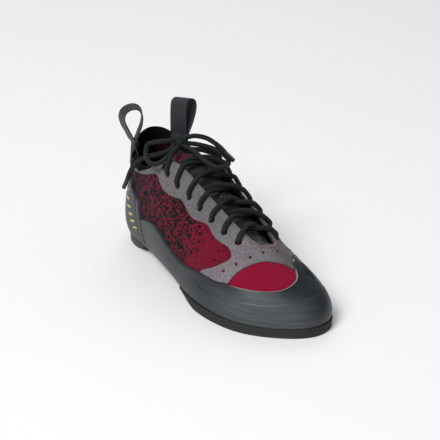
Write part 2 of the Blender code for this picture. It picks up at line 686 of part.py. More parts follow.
def make_cord(name, places, look):
    """A free stretch of lace on its hand-chosen route."""
    route = [tuple(KNOT_AT[k] + place[k] for k in range(3)) for place in places]
    data = bpy.data.curves.new(name, "CURVE")
    data.dimensions = "3D"
    data.bevel_depth = LACE / 2
    data.bevel_resolution = 2
    data.use_fill_caps = True
    marks = smooth_route(route, LACE * 2)
    spline = data.splines.new("POLY")
    spline.points.add(len(marks) - 1)
    for point, mark in zip(spline.points, marks):
        point.co = (*mark, 1.0)
    made = bpy.data.objects.new(name, data)
    bpy.context.scene.collection.objects.link(made)
    data.materials.append(look)
    return made


def make_tip(name, places, look):
    """The hard tip on a lace's end, in line with its last stretch."""
    end, before = Vector(places[-1]), Vector(places[-2])
    run = (end - before).normalized()
    start = Vector(KNOT_AT) + end + run * GAP
    return finish(name, tube_mesh(name, [start, start + run * TIP_LENGTH], TIP_WIDTH / 2), look)


def make_knot(look):
    work = bmesh.new()
    bmesh.ops.create_icosphere(work, subdivisions=2, radius=0.5)
    for vert in work.verts:
        vert.co = Vector([c * size for c, size in zip(vert.co, KNOT_SIZE)]) + Vector(KNOT_AT)
    mesh = bpy.data.meshes.new("lace_knot")
    work.to_mesh(mesh)
    work.free()
    return finish("lace_knot", mesh, look)


def make_keeper(look):
    """The little strap on the tongue that a lace runs through."""
    rows = []
    for share, part in KEEPER_ARCH:
        lift = TONGUE_LIFT + GAP + KEEPER_RISE * part
        place = tongue_place(KEEPER_STATION, lift, share)
        front = tongue_place(KEEPER_STATION + 1 / FINE, lift, share)
        run = (front - place) / np.linalg.norm(front - place)
        rows.append([place, place + run * KEEPER_WIDTH])
    return ribbon("lace_keeper", rows, -EYESTAY, look)


def punch_eyelets(upper, eyestay):
    """Holes for the lace through overlay and knit."""
    work = bmesh.new()
    for station, height in EYELETS:
        for place in (station, other_side(station)):
            axis = Vector(LAST.normal(place, height))
            centre = Vector(LAST.point(place, height))
            turn = axis.to_track_quat("Z", "Y").to_matrix().to_4x4()
            turn.translation = centre
            bmesh.ops.create_cone(work, cap_ends=True, segments=6, radius1=EYELET / 2, radius2=EYELET / 2,
                                  depth=4 * (WALL + EYESTAY), matrix=turn)
    mesh = bpy.data.meshes.new("eyelet_guide")
    work.to_mesh(mesh)
    work.free()
    cutter = bpy.data.objects.new("eyelet_guide", mesh)
    bpy.context.scene.collection.objects.link(cutter)
    boolean(upper, cutter, "DIFFERENCE")
    boolean(eyestay, cutter, "DIFFERENCE")


def main():
    for old in list(bpy.data.objects):
        bpy.data.objects.remove(old, do_unlink=True)
    knit = material("knit", KNIT, 0.85)
    microfibre = material("microfibre", MICROFIBRE, 0.75)
    rubber = material("rand_rubber", RUBBER, 0.5)
    sole_rubber = material("sole_rubber", SOLE_RUBBER, 0.65)
    black = material("black_knit", BLACK, 0.85)
    webbing = material("webbing", WEBBING, 0.6)
    cord = material("lace", BLACK, 0.7)
    upper = make_upper(knit)
    eyestay = make_eyestay(microfibre)
    punch_eyelets(upper, eyestay)
    make_binding(black)
    make_tongue(black)
    make_keeper(webbing)
    make_insole(black)
    make_rand(rubber)
    make_toe_rubber(rubber)
    make_heel_rubber(rubber)
    make_outsole(sole_rubber)
    make_heel_sole(sole_rubber)
    for side, station in LOOP_STATIONS.items():
        make_pull_loop(f"pull_loop_{side}", station, LOOP_SPAN[side], webbing)
    for level in range(CROSSINGS):
        make_crossing(level, cord)
    make_tie(cord)
    make_knot(cord)
    make_cord("lace_loop_outer", LOOP_OUTER, cord)
    make_cord("lace_loop_inner", LOOP_INNER, cord)
    make_cord("lace_end_outer", END_OUTER, cord)
    make_cord("lace_end_inner", END_INNER, cord)
    make_tip("lace_tip_outer", END_OUTER, webbing)
    make_tip("lace_tip_inner", END_INNER, webbing)


main()
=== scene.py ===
"""A right climbing shoe, dressed: knit, microfibre, rubber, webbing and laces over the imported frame.

The wall of the foot is one surface, read by station along the shoe and height across the wall, so
each layer is a cut of that surface at its own lift. Camera and bow come first, the stage last.
"""
import functools
import math

import bpy
import numpy as np
from mathutils import Matrix, Vector
from mathutils.kdtree import KDTree


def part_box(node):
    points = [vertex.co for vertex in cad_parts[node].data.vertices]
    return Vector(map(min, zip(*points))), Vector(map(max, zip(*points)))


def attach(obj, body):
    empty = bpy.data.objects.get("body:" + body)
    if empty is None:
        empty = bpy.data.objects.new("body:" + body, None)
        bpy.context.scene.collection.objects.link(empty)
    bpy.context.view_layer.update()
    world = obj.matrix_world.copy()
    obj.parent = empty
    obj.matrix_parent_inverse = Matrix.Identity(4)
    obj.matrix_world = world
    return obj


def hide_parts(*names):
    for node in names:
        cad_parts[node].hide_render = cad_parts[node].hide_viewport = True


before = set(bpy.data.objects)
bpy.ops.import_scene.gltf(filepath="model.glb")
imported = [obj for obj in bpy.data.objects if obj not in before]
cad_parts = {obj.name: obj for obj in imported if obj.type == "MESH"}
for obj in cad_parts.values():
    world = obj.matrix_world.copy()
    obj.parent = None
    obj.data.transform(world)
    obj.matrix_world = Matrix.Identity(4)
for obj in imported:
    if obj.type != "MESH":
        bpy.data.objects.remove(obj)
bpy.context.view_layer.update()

bl_info = {
    "name": "Climbing shoe",
    "version": (1, 0, 0),
    "blender": (4, 5, 0),
    "location": "3D View > Sidebar > Shoe",
    "description": "Dresses the frame of a climbing shoe with its fabrics, rubber and laces",
    "category": "Object",
}

# The photograph's view: degrees, metres and pixels, and the sensor's width in millimetres
VIEW_AZIMUTH, VIEW_ELEVATION, VIEW_ROLL = 57.035, 22.282, 2.341
VIEW_DISTANCE = 0.950
VIEW_AIM = (-0.06908, 0.01856, 0.040)
VIEW_FOCAL_PIXELS, PHOTO_WIDTH, SENSOR = 1141.2, 440, 36.0

# The last's sections. x is in hundredths of the length, y of the ball's width and z of the collar's
# height, and the four handle columns, which bow the wall, are in hundredths of the collar's height.
SECTION_COLUMNS = ("sole_x", "sole_y", "sole_z", "top_x", "top_y", "top_z",
                   "low_out", "low_up", "high_out", "high_down")
SECTIONS = (
    (4.8, 0.0, 7.0, 6.0, 0.0, 100.0, 13.0, 18.0, -3.0, 34.0),         # heel back
    (8.0, -17.0, 7.0, 8.0, -16.0, 92.5, 12.5, 17.0, -1.0, 33.0),      # heel corner, outer side
    (17.0, -25.0, 7.2, 14.5, -26.0, 83.0, 9.5, 16.0, 2.0, 29.0),      # heel side
    (27.0, -28.5, 10.0, 22.0, -29.0, 81.0, 8.0, 18.0, 4.0, 25.0),     # rubber seam
    (37.0, -33.5, 12.0, 30.5, -26.5, 91.0, 8.0, 20.0, 8.0, 24.0),     # arch
    (47.0, -37.5, 12.0, 39.5, -22.0, 97.5, 8.0, 20.0, 12.0, 22.0),    # waist
    (57.0, -40.5, 8.8, 50.0, -18.5, 89.5, 7.0, 18.0, 16.0, 17.0),     # behind the ball
    (68.0, -43.5, 7.0, 60.5, -16.5, 80.0, 6.0, 16.0, 20.0, 12.0),     # ball
    (79.0, -40.5, 7.0, 69.5, -13.0, 70.0, 6.0, 16.0, 22.0, 10.0),     # vamp
    (88.0, -30.0, 7.0, 75.5, -8.0, 62.0, 6.0, 16.0, 26.0, 10.0),      # toe side
    (95.0, -10.5, 7.0, 78.0, -2.0, 57.5, 6.0, 16.0, 28.0, 11.0),      # toe corner
    (99.0, 18.0, 7.2, 78.5, 5.0, 56.5, 6.5, 17.0, 28.0, 12.0),        # toe tip
    (95.5, 35.5, 7.0, 78.0, 10.5, 56.0, 7.0, 17.0, 22.0, 13.0),       # toe corner, inner side
    (88.0, 42.0, 7.0, 75.5, 13.0, 58.0, 7.0, 17.5, 17.0, 14.0),       # toe side
    (79.0, 42.5, 7.0, 69.5, 14.5, 65.5, 7.0, 17.5, 17.0, 13.0),       # vamp
    (68.0, 37.0, 7.2, 60.5, 14.5, 75.5, 9.0, 18.0, 18.0, 15.0),       # ball
    (57.0, 27.0, 18.0, 50.0, 15.5, 86.0, 12.0, 20.0, 16.0, 19.0),     # behind the ball
    (47.0, 20.0, 25.0, 39.5, 18.5, 93.5, 12.0, 20.0, 13.0, 22.0),     # waist
    (37.0, 20.5, 21.0, 30.5, 24.0, 90.0, 9.0, 20.0, 8.0, 24.0),       # arch
    (27.0, 24.5, 12.0, 22.0, 28.0, 84.0, 8.0, 18.0, 4.0, 25.0),       # rubber seam
    (17.0, 25.0, 7.2, 14.5, 26.0, 87.0, 9.5, 16.0, 2.0, 29.0),        # heel side
    (8.0, 17.0, 7.0, 8.0, 16.0, 98.0, 12.5, 17.0, -1.0, 33.0),        # heel corner
)
TURN, SEAM = 22, 3                      # stations once round the shoe, and where the rubber is joined

# Edge lines on the wall: (station, height), height as a share of the wall from feather line to top
RAND_LINE = ((3, 0.40), (3.5, 0.41), (4.2, 0.40), (4.75, 0.35), (5.2, 0.31), (6, 0.30), (6.5, 0.32),
             (7, 0.36), (7.6, 0.38), (8, 0.39), (8.5, 0.43), (9.1, 0.46), (10, 0.495), (10.475, 0.525),
             (10.8, 0.57), (11.03, 0.62), (11.17, 0.665), (11.30, 0.705), (11.5, 0.75), (11.85, 0.775),
             (12.2, 0.762), (12.6, 0.72), (13.2, 0.63), (14, 0.49), (15, 0.36),
             (16, 0.30), (17, 0.32), (18, 0.38), (19, 0.40))
TOE_LINE = ((7.05, 0.35), (7.2, 0.29), (7.5, 0.255), (8.2, 0.28), (9, 0.32), (10, 0.35), (10.6, 0.39),
            (11.3, 0.40), (12, 0.38), (13, 0.33), (14, 0.27), (14.6, 0.27), (14.9, 0.33))
HEEL_LINE = ((-3, 0.59), (-2, 0.735), (-1.1, 0.80), (-0.5, 0.85), (0, 0.868), (0.5, 0.85), (1.1, 0.80),
             (2, 0.735), (3, 0.59))
PANEL_OUTLINE = ((1.2, 0.66), (1.4, 0.72), (1.9, 0.86), (2.3, 0.895), (3, 0.905), (3.9, 0.875),
                 (4.25, 0.84), (4.5, 0.77), (4.8, 0.715), (5.15, 0.70), (5.45, 0.715), (5.75, 0.745),
                 (6.0, 0.74), (6.3, 0.715), (6.6, 0.715), (6.95, 0.75), (7.2, 0.77), (7.4, 0.76),
                 (7.65, 0.735), (7.9, 0.735), (8.2, 0.755), (8.42, 0.745), (8.5, 0.70), (8.42, 0.65),
                 (8.2, 0.59), (7.8, 0.49), (7.4, 0.41), (7.1, 0.33), (6, 0.2), (3, 0.2), (1.2, 0.4))
WINDOW_OUTLINE = ((8.45, 0.40), (8.5, 0.44), (8.7, 0.54), (9.0, 0.65), (9.4, 0.735), (9.85, 0.795),
                  (10.35, 0.82), (10.7, 0.808), (10.92, 0.780), (11.07, 0.742), (11.17, 0.705),
                  (11.3, 0.66), (11.3, 0.56), (10, 0.42), (9, 0.38))
# The overlay's upper edge on one side, which from THROAT_START on is the throat's own edge
OVERLAY_TOP = ((1.9, 0.925), (2.4, 0.935), (3.2, 0.95), (3.8, 0.965), (4.05, 1.01), (4.6, 1.10))
THROAT_START = 4.05
BINDING_LINE = 0.95                     # height where the collar's binding ends
LOOP_STATIONS = {"outer": 1.5, "inner": 20.37}
# Degrees that a loop's tape turns about the upright at shares of its route, and how far its edge tilts
LOOP_TURN = {"outer": ((0.0, 22.0), (0.2, 22.0), (0.45, 10.0), (0.7, 3.0), (1.0, 0.0)),
             "inner": ((0.0, 0.0), (0.5, -3.0), (1.0, 0.0))}
LOOP_TILT = {"outer": 0.0, "inner": -0.12}
# Each loop from its outer leg over the top to its inner leg: metres outward of the rim and above it
LOOP_ROUTE = {
    "outer": ((0.0014, 0.0060), (0.0048, 0.0125), (0.0090, 0.0205), (0.0112, 0.0280), (0.0086, 0.0345),
              (0.0020, 0.0376), (-0.0040, 0.0362), (-0.0072, 0.0305), (-0.0068, 0.0220), (-0.0036, 0.0130),
              (-0.0010, 0.0055)),
    "inner": ((0.0024, 0.0050), (0.0062, 0.0125), (0.0094, 0.0210), (0.0106, 0.0280), (0.0092, 0.0332),
              (0.0056, 0.0357), (0.0014, 0.0357), (-0.0014, 0.0329), (-0.0020, 0.0258), (-0.0018, 0.0172),
              (-0.0014, 0.0090), (-0.0011, 0.0035)),
}
# Lace holes from the toe back: station and height
EYELETS = ((8.6, 0.87), (7.9, 0.845), (7.3, 0.84), (6.7, 0.835), (6.1, 0.83), (5.45, 0.82),
           (4.85, 0.86), (4.5, 0.935))
CROSSINGS = 6                           # times that the lace crosses, each from one pair to the next
LANDING = 0.40                          # stations back from a hole, where its lace meets the far edge
EDGE_LEVEL = 0.965                      # height at which a lace runs under the throat's edge
ARCH_RISE = 0.13                        # handles of an arch over the throat, as a share of its span
TONGUE_FOOT, TONGUE_END = 5.0, 10.33    # stations between which the tongue fills the throat
# Past the throat's open end: metres back, metres up and the share of the width
TONGUE_PAST = ((-0.022, 0.001, 0.86), (-0.011, 0.001, 0.95))
TONGUE_RIB = 4.8                        # mm from one rib of the tongue to the next
# The strap on the tongue: from station to station, and from share to share of the way across
KEEPER_STATIONS, KEEPER_SHARES = (6.35, 6.72), (0.36, 0.64)

# Soft troughs and ridges of the wall: station, height, half run in stations, half rise as a share of
# the wall, and metres out
CREASES = (
    (4.6, 0.52, 0.55, 0.10, -0.0008),      # hollow over the arch, outer side
    (5.6, 0.45, 0.35, 0.07, 0.0005),       # fullness under the overlay's first wave
    (7.1, 0.60, 0.16, 0.16, -0.0005),      # flex trough at the ball
    (7.5, 0.62, 0.14, 0.15, 0.0004),       # ridge ahead of it
    (9.2, 0.86, 0.60, 0.04, -0.0004),      # crease across the vamp
    (10.4, 0.70, 0.70, 0.08, 0.0006),      # crown of the toe window
    (2.6, 0.84, 0.50, 0.05, 0.0007),       # padded ridge under the collar
    (3.7, 0.90, 0.35, 0.05, -0.0006),      # dip where the collar turns up
    (0.0, 0.90, 0.90, 0.05, 0.0006),       # padding over the heel cord
    (17.4, 0.52, 0.55, 0.10, -0.0008),     # the same hollow, inner side
    (14.7, 0.60, 0.16, 0.14, -0.0005),     # flex trough at the ball, inner side
    (19.3, 0.84, 0.50, 0.05, 0.0007),      # padded ridge under the collar, inner side
)

# The bow, in metres from the knot, on the same routes as the imported cords
KNOT_AT = (-0.0940, -0.0080, 0.1045)
LOOP_OUTER = ((-0.0020, -0.0064, 0.0016), (-0.0045, -0.0120, 0.0012), (-0.0105, -0.0180, -0.0008),
              (-0.0140, -0.0215, -0.0035), (-0.0110, -0.0248, -0.0080), (-0.0040, -0.0275, -0.0115),
              (0.0035, -0.0280, -0.0130), (0.0085, -0.0245, -0.0120), (0.0110, -0.0190, -0.0080),
              (0.0100, -0.0120, -0.0038), (0.0072, -0.0060, -0.0015))
LOOP_INNER = ((0.0035, 0.0052, -0.0005), (0.0075, 0.0130, -0.0015), (0.0150, 0.0200, -0.0028),
              (0.0255, 0.0235, -0.0040), (0.0375, 0.0230, -0.0055), (0.0460, 0.0185, -0.0070),
              (0.0500, 0.0110, -0.0075), (0.0470, 0.0045, -0.0065), (0.0360, 0.0018, -0.0045),
              (0.0230, 0.0028, -0.0028), (0.0130, 0.0022, -0.0018), (0.0068, 0.0004, -0.0012))
END_OUTER = ((0.0008, -0.0048, -0.0027), (0.0000, -0.0112, -0.0062), (-0.0050, -0.0175, -0.0095),
             (-0.0130, -0.0215, -0.0130), (-0.0220, -0.0260, -0.0195), (-0.0300, -0.0280, -0.0290),
             (-0.0345, -0.0287, -0.0375))
END_INNER = ((0.0022, 0.0052, 0.0040), (0.0050, 0.0120, 0.0052), (0.0128, 0.0187, 0.0044),
             (0.0255, 0.0216, 0.0015), (0.0360, 0.0217, -0.0010))

# Knit, in mm: from one wale to the next, from one row of stitches to the next, and the run of one
# coloured cell
WALE, COURSE, CELL = 1.72, 1.5, 1.7
LINING_WALE, LINING_COURSE, LINING_CELL = 0.9, 1.1, 1.4
BRAID_RUN, BRAID_STRANDS = 2.1, 5.0     # mm for one strand to cross, and strands each way round a lace
TAPE_WARP, TAPE_WEFT = 0.62, 0.95       # mm between the tape's ribs, and between its wefts

# Small forms on the wall: station and height. A dot's rings are radius and lift in metres, and the
# bars start at a place and go on by a step
TOE_SLITS = ((12.075, 0.640), (11.85, 0.612), (11.70, 0.576))
DOTS = ((8.30, 0.53), (8.75, 0.66), (9.30, 0.80), (10.2, 0.91), (11.2, 0.91),
        (TURN - 8.75, 0.70), (TURN - 9.30, 0.82))
DOT_RINGS = ((0.0013, -0.00002), (0.0011, 0.00012), (0.0007, 0.00005), (0.0, 0.00001))
BAR_COUNT, BAR_FIRST, BAR_STEP = 6, (1.60, 0.610), (0.15, -0.072)

DEEP = 50.0                             # mm, deeper than any edge reaches
WALL_MM = 90.0                          # mm from feather line to top line, near enough
NEAR_WALL = 0.0001                      # metres, where the inside of a rubber sheet lies
RIM_SHARE = 0.3                         # share of the thickness left at a sheet's very edge
EDGE_ROWS = (0.0, 0.2, 0.5, 1.0, 2.0)   # mm from a rubber edge, where rows lie close
TURN_ROWS, UNDER_ROW = 4, 0.8           # rows that turn rubber under the foot, and mm from one to the next
CORD_SIDES = 14
CORD_STEP, LACE_STEP = 0.0009, 0.0010   # metres between a cord's rings, in the bow and in the lacing
SMOOTH_UP_TO = 55                       # degrees between faces that shade as one

# Second tints of the finishes, with painted shade, shadow, sheen and highlight among them, linear
REAR_SHADE_AND_SHEEN_RED, LIT_RED, HEEL_YARN = (0.190, 0.020, 0.070), (0.70, 0.13, 0.22), (0.050, 0.020, 0.036)
TOE_GROOVE_SHADOW, LINING_RED = (0.095, 0.001, 0.009), (0.075, 0.003, 0.014)
WARM_FLECK, COOL_FLECK, CUT_EDGE = (0.21, 0.165, 0.175), (0.105, 0.125, 0.125), (0.05, 0.048, 0.052)
SCUFF_AND_SHEEN, BUFFED, HEM_AND_GLINT, SLIT_SHADOW = (0.095, 0.102, 0.106), (0.12, 0.12, 0.125), (0.36, 0.29, 0.31), (0.001,) * 3
FLOOR_DUST, SELVEDGE = (0.13, 0.125, 0.115), (0.035, 0.036, 0.042)
TIP_BLACK, THREAD_PINK, HOLE_RED = (0.010, 0.010, 0.012), (0.25, 0.125, 0.155), (0.085, 0.006, 0.014)

# The studio: the floor's reach in metres, the sky, and each lamp's place, width in metres and watts
FLOOR_REACH = 14.0
SKY_COLOUR, SKY_STRENGTH = (0.95, 0.97, 1.0, 1.0), 0.29
LAMPS = {"key": ((1.40, -3.10, 3.40), 2.2, 222.0), "back": ((-1.90, 1.20, 2.30), 1.6, 17.0)}
LAMPS_AIM = (-0.05, 0.0, 0.04)


def size(label, default, description):
    return bpy.props.FloatProperty(name=label, default=default, description=description,
                                   min=0.0, precision=5, unit="LENGTH")


def colour(label, default, description):
    return bpy.props.FloatVectorProperty(name=label, default=default, description=description,
                                         size=3, min=0.0, max=1.0, subtype="COLOR")


class ShoeSizes(bpy.types.PropertyGroup):
    """Sizes of the shoe's layers, in metres"""
    length: size("Length", 0.250, "Heel to toe")
    ball: size("Ball width", 0.094, "Width over the ball")
    collar: size("Collar height", 0.097, "Floor to the collar's back peak")
    wall: size("Knit wall", 0.0018, "Thickness of knit and lining")
    eyestay: size("Overlay", 0.0008, "Thickness of the microfibre overlay")
    binding: size("Collar binding", 0.0009, "Thickness of the collar's binding")
    rand: size("Rand", 0.0019, "Thickness of the rubber round the foot")
    toe_rubber: size("Toe rubber", 0.0014, "Thickness of the sheet over the toes")
    heel_rubber: size("Heel rubber", 0.0022, "Thickness of the heel cup")
    lip: size("Sole lip", 0.0011, "The sole's standing edge outside the rand")
    stack: size("Sole stack", 0.0072, "Feather line to floor")
    thin: size("Sole thinning", 0.0028, "What a sole loses at its open end")
    tongue: size("Tongue", 0.0026, "Thickness of the tongue")
    strap: size("Webbing", 0.0013, "Thickness of a pull loop")
    strap_width: size("Webbing width", 0.0170, "Width of a pull loop")
    strap_grip: size("Webbing grip", 0.0110, "Length of each strap end on the wall")
    lace: size("Lace", 0.0040, "Diameter of the round lace")
    eyelet: size("Lace hole", 0.0050, "Bore of a punched lace hole")
    tip: size("Lace tip", 0.0120, "Length of the hard tip")
    tip_width: size("Tip width", 0.0036, "Diameter of the hard tip")
    gap: size("Gap", 0.0003, "Between pieces that touch")
    sewn: size("Seam", 0.00045, "Between the knit and what is sewn on it")


class ShoeColours(bpy.types.PropertyGroup):
    """Base colours, linear"""
    red: colour("Red yarn", (0.350, 0.003, 0.042), "Crimson yarn of the knit")
    dark: colour("Dark yarn", (0.0055, 0.0065, 0.0065), "Black yarn of the knit")
    overlay: colour("Overlay", (0.150, 0.139, 0.150), "Grey microfibre")
    rubber: colour("Rand rubber", (0.0115, 0.0158, 0.0195), "Rubber round the foot")
    sole: colour("Sole rubber", (0.022, 0.021, 0.019), "Wear rubber under the foot")
    lining: colour("Lining", (0.006, 0.006, 0.007), "Inside of the shoe")
    lace: colour("Lace", (0.0065, 0.0085, 0.0090), "Round lace")
    webbing: colour("Webbing", (0.0260, 0.0270, 0.0310), "Pull loops")
    mark: colour("Heel bars", (0.46, 0.42, 0.12), "Plain bars on the heel")
    floor: colour("Floor", (0.92, 0.92, 0.925), "Studio floor")


def sizes():
    return bpy.context.scene.shoe_sizes


def colours():
    return bpy.context.scene.shoe_colours


def catmull(points, steps):
    """A smooth open curve through points, steps places from one to the next."""
    points = np.asarray(points, float)
    ends = np.vstack([2 * points[0] - points[1], points, 2 * points[-1] - points[-2]])
    curve = []
    for a, b, c, d in zip(ends, ends[1:], ends[2:], ends[3:]):
        for t in np.arange(steps) / steps:
            curve.append(0.5 * (2 * b + (c - a) * t + (2 * a - 5 * b + 4 * c - d) * t ** 2
                                + (3 * b - a - 3 * c + d) * t ** 3))
    return np.array(curve + [points[-1]])


def gone_along(curve):
    """Length from a curve's start to each of its places."""
    return np.concatenate([[0.0], np.cumsum(np.linalg.norm(np.diff(curve, axis=0), axis=1))])


def resample(curve, spacing):
    """The same curve with places at a steady spacing."""
    gone = gone_along(curve)
    marks = np.linspace(0.0, gone[-1], max(4, round(gone[-1] / spacing)) + 1)
    return np.stack([np.interp(marks, gone, curve[:, k]) for k in range(curve.shape[1])], axis=1)


def height_on(line, station):
    """Height of a smooth edge line at stations."""
    curve = catmull(line, 8)
    return np.interp(station, curve[:, 0], curve[:, 1])


def same_side(station):
    return station


def other_side(station):
    return TURN - station


def smooth(low, high, value):
    """0 below low, 1 above high, and a soft step between them."""
    share = np.clip((value - low) / (high - low), 0.0, 1.0)
    return share * share * (3.0 - 2.0 * share)


class Last:
    """The foot's shape as a closed band, read by arrays of stations and heights."""

    def __init__(self, length, ball, collar):
        table = np.array(SECTIONS, float) / 100.0
        column = SECTION_COLUMNS.index
        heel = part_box("heel_rubber")[0][0] + sizes().gap + sizes().heel_rubber
        for name in ("sole_x", "top_x"):
            table[:, column(name)] *= length
        for name in ("sole_y", "top_y"):
            table[:, column(name)] *= ball
        table[:, column("sole_z")] *= collar
        table[:, column("top_z"):] *= collar
        follower = np.roll(table, -1, axis=0)
        chord = (np.linalg.norm(follower[:, 0:3] - table[:, 0:3], axis=1)
                 + np.linalg.norm(follower[:, 3:6] - table[:, 3:6], axis=1))
        self.marks = np.concatenate([[0.0], np.cumsum(chord)])
        self.period = self.marks[-1]
        self.step = np.diff(self.marks)
        self.values = table
        self.bend = self.solve()
        heights = np.linspace(0.0, 0.5, 60)
        back = self.place(np.zeros(60), heights)[:, 0].min()
        table[:, [column("sole_x"), column("top_x")]] += heel - back
        self.bend = self.solve()

    def solve(self):
        """Second differences of the closed spline through the sections."""
        count = len(self.values)
        system, right = np.zeros((count, count)), np.zeros_like(self.values)
        for i in range(count):
            before, after, follower = self.step[i - 1], self.step[i], (i + 1) % count
            system[i, i - 1] += before
            system[i, i] += 2 * (before + after)
            system[i, follower] += after
            right[i] = 6 * ((self.values[follower] - self.values[i]) / after
                            - (self.values[i] - self.values[i - 1]) / before)
        return np.linalg.solve(system, right)

    def at(self, u):
        """Section values at marks u of the closed spline."""
        u = np.mod(u, self.period)
        i = np.clip(np.searchsorted(self.marks, u, side="right") - 1, 0, len(self.values) - 1)
        j = (i + 1) % len(self.values)
        gone, whole = (u - self.marks[i])[..., None], self.step[i][..., None]
        left = whole - gone
        return ((self.bend[i] * left ** 3 + self.bend[j] * gone ** 3) / (6 * whole)
                + (self.values[i] / whole - self.bend[i] * whole / 6) * left
                + (self.values[j] / whole - self.bend[j] * whole / 6) * gone)

    def handles(self, station):
        """Feather line, its handle, the top line's handle, top line and outward direction."""
        u = np.interp(np.mod(station, TURN), np.arange(TURN + 1), self.marks)
        nudge = 0.001 * self.period
        row = self.at(u)
        along = (self.at(u + nudge) - self.at(u - nudge))[..., :2]
        along /= np.linalg.norm(along, axis=-1, keepdims=True)
        out = np.stack((along[..., 1], -along[..., 0], np.zeros(u.shape)), axis=-1)
        up = np.array((0.0, 0.0, 1.0))
        feather, top = row[..., 0:3], row[..., 3:6]
        return (feather, feather + out * row[..., 6:7] + up * row[..., 7:8],
                top + out * row[..., 8:9] - up * row[..., 9:10], top, out)

    def place(self, station, height):
        """Places on the smooth wall."""
        station, height = np.broadcast_arrays(np.asarray(station, float), np.asarray(height, float))
        a, b, c, d, _ = self.handles(station)
        t = height[..., None]
        rest = 1.0 - t
        return a * rest ** 3 + 3 * b * t * rest ** 2 + 3 * c * t ** 2 * rest + d * t ** 3

    def climb(self, station, height, nudge=0.005):
        """Direction up the wall."""
        height = np.asarray(height)
        slope = self.place(station, height + nudge) - self.place(station, height - nudge)
        return slope / np.linalg.norm(slope, axis=-1, keepdims=True)

    def normal(self, station, height, nudge=0.02):
        """Direction out of the wall."""
        station = np.asarray(station)
        along = self.place(station + nudge, height) - self.place(station - nudge, height)
        out = np.cross(along, self.climb(station, height))
        return out / np.linalg.norm(out, axis=-1, keepdims=True)

    @staticmethod
    def dent(station, height):
        """How far the creases push the wall out."""
        total = 0.0
        for centre, level, run, rise, depth in CREASES:
            away = np.mod(np.asarray(station) - centre + TURN / 2, TURN) - TURN / 2
            over = np.asarray(height) - level
            total = total + depth * np.exp(-(away / run) ** 2 - (over / rise) ** 2)
        return total

    def point(self, station, height, lift=0.0):
        """Places at a lift, in metres, from the creased wall."""
        lift = np.asarray(lift) + self.dent(station, height)
        return self.place(station, height) + self.normal(station, height) * lift[..., None]
        lift = np.asarray(lift) + self.dent(station, height)
        return self.place(station, height) + self.normal(station, height) * lift[..., None]

    def feather(self, station, outward=0.0, drop=0.0):
        """Places beside the feather line and under it, never lower than the floor."""
        start, *_, out = self.handles(np.asarray(station, float))
        place = start + out * np.asarray(outward)[..., None]
        place[..., 2] = np.maximum(place[..., 2] - drop, 0.0)
        return place

    def bridge(self, near, far, lift_near, lift_far, share):
        """Places on the arch from the top line at one station to the top line at another."""
        start, end = self.point(near, 1.0, lift_near), self.point(far, 1.0, lift_far)
        reach = np.linalg.norm(end - start) * ARCH_RISE
        t = np.asarray(share, float)[..., None]
        b, c = start + self.climb(near, 1.0) * reach, end + self.climb(far, 1.0) * reach
        rest = 1.0 - t
        return start * rest ** 3 + 3 * b * t * rest ** 2 + 3 * c * t ** 2 * rest + end * t ** 3


@functools.lru_cache(maxsize=None)
def last_of(length, ball, collar):
    return Last(length, ball, collar)


def the_last():
    s = sizes()
    return last_of(s.length, s.ball, s.collar)


class Value:
    """A shader socket that takes part in expressions."""

    def __init__(self, paint, socket):
        self.paint, self.socket = paint, socket

    def math(self, operation, *others, first=False):
        operands = (others[0], self) if first else (self, *others)
        return self.paint.node("ShaderNodeMath", {"operation": operation}, dict(enumerate(operands)))

    def __add__(self, other):
        return self.math("ADD", other)

    def __sub__(self, other):
        return self.math("SUBTRACT", other)

    def __mul__(self, other):
        return self.math("MULTIPLY", other)

    def __truediv__(self, other):
        return self.math("DIVIDE", other)

    def __pow__(self, other):
        return self.math("POWER", other)

    def __rsub__(self, other):
        return self.math("SUBTRACT", other, first=True)

    __radd__, __rmul__ = __add__, __mul__

    def sin(self):
        return self.math("SINE")

    def wave(self, length=1.0):
        """From 0 to 1 and back once in each length."""
        return (self * (2 * math.pi / length)).sin() * 0.5 + 0.5

    def fraction(self):
        return self.math("FRACT")

    def floor(self):
        return self.math("FLOOR")

    def size(self):
        return self.math("ABSOLUTE")

    def ramp(self, low, high):
        """A soft step from 0 at low to 1 at high."""
        return self.paint.node("ShaderNodeMapRange", {"interpolation_type": "SMOOTHSTEP"},
                               {"Value": self, "From Min": low, "From Max": high})


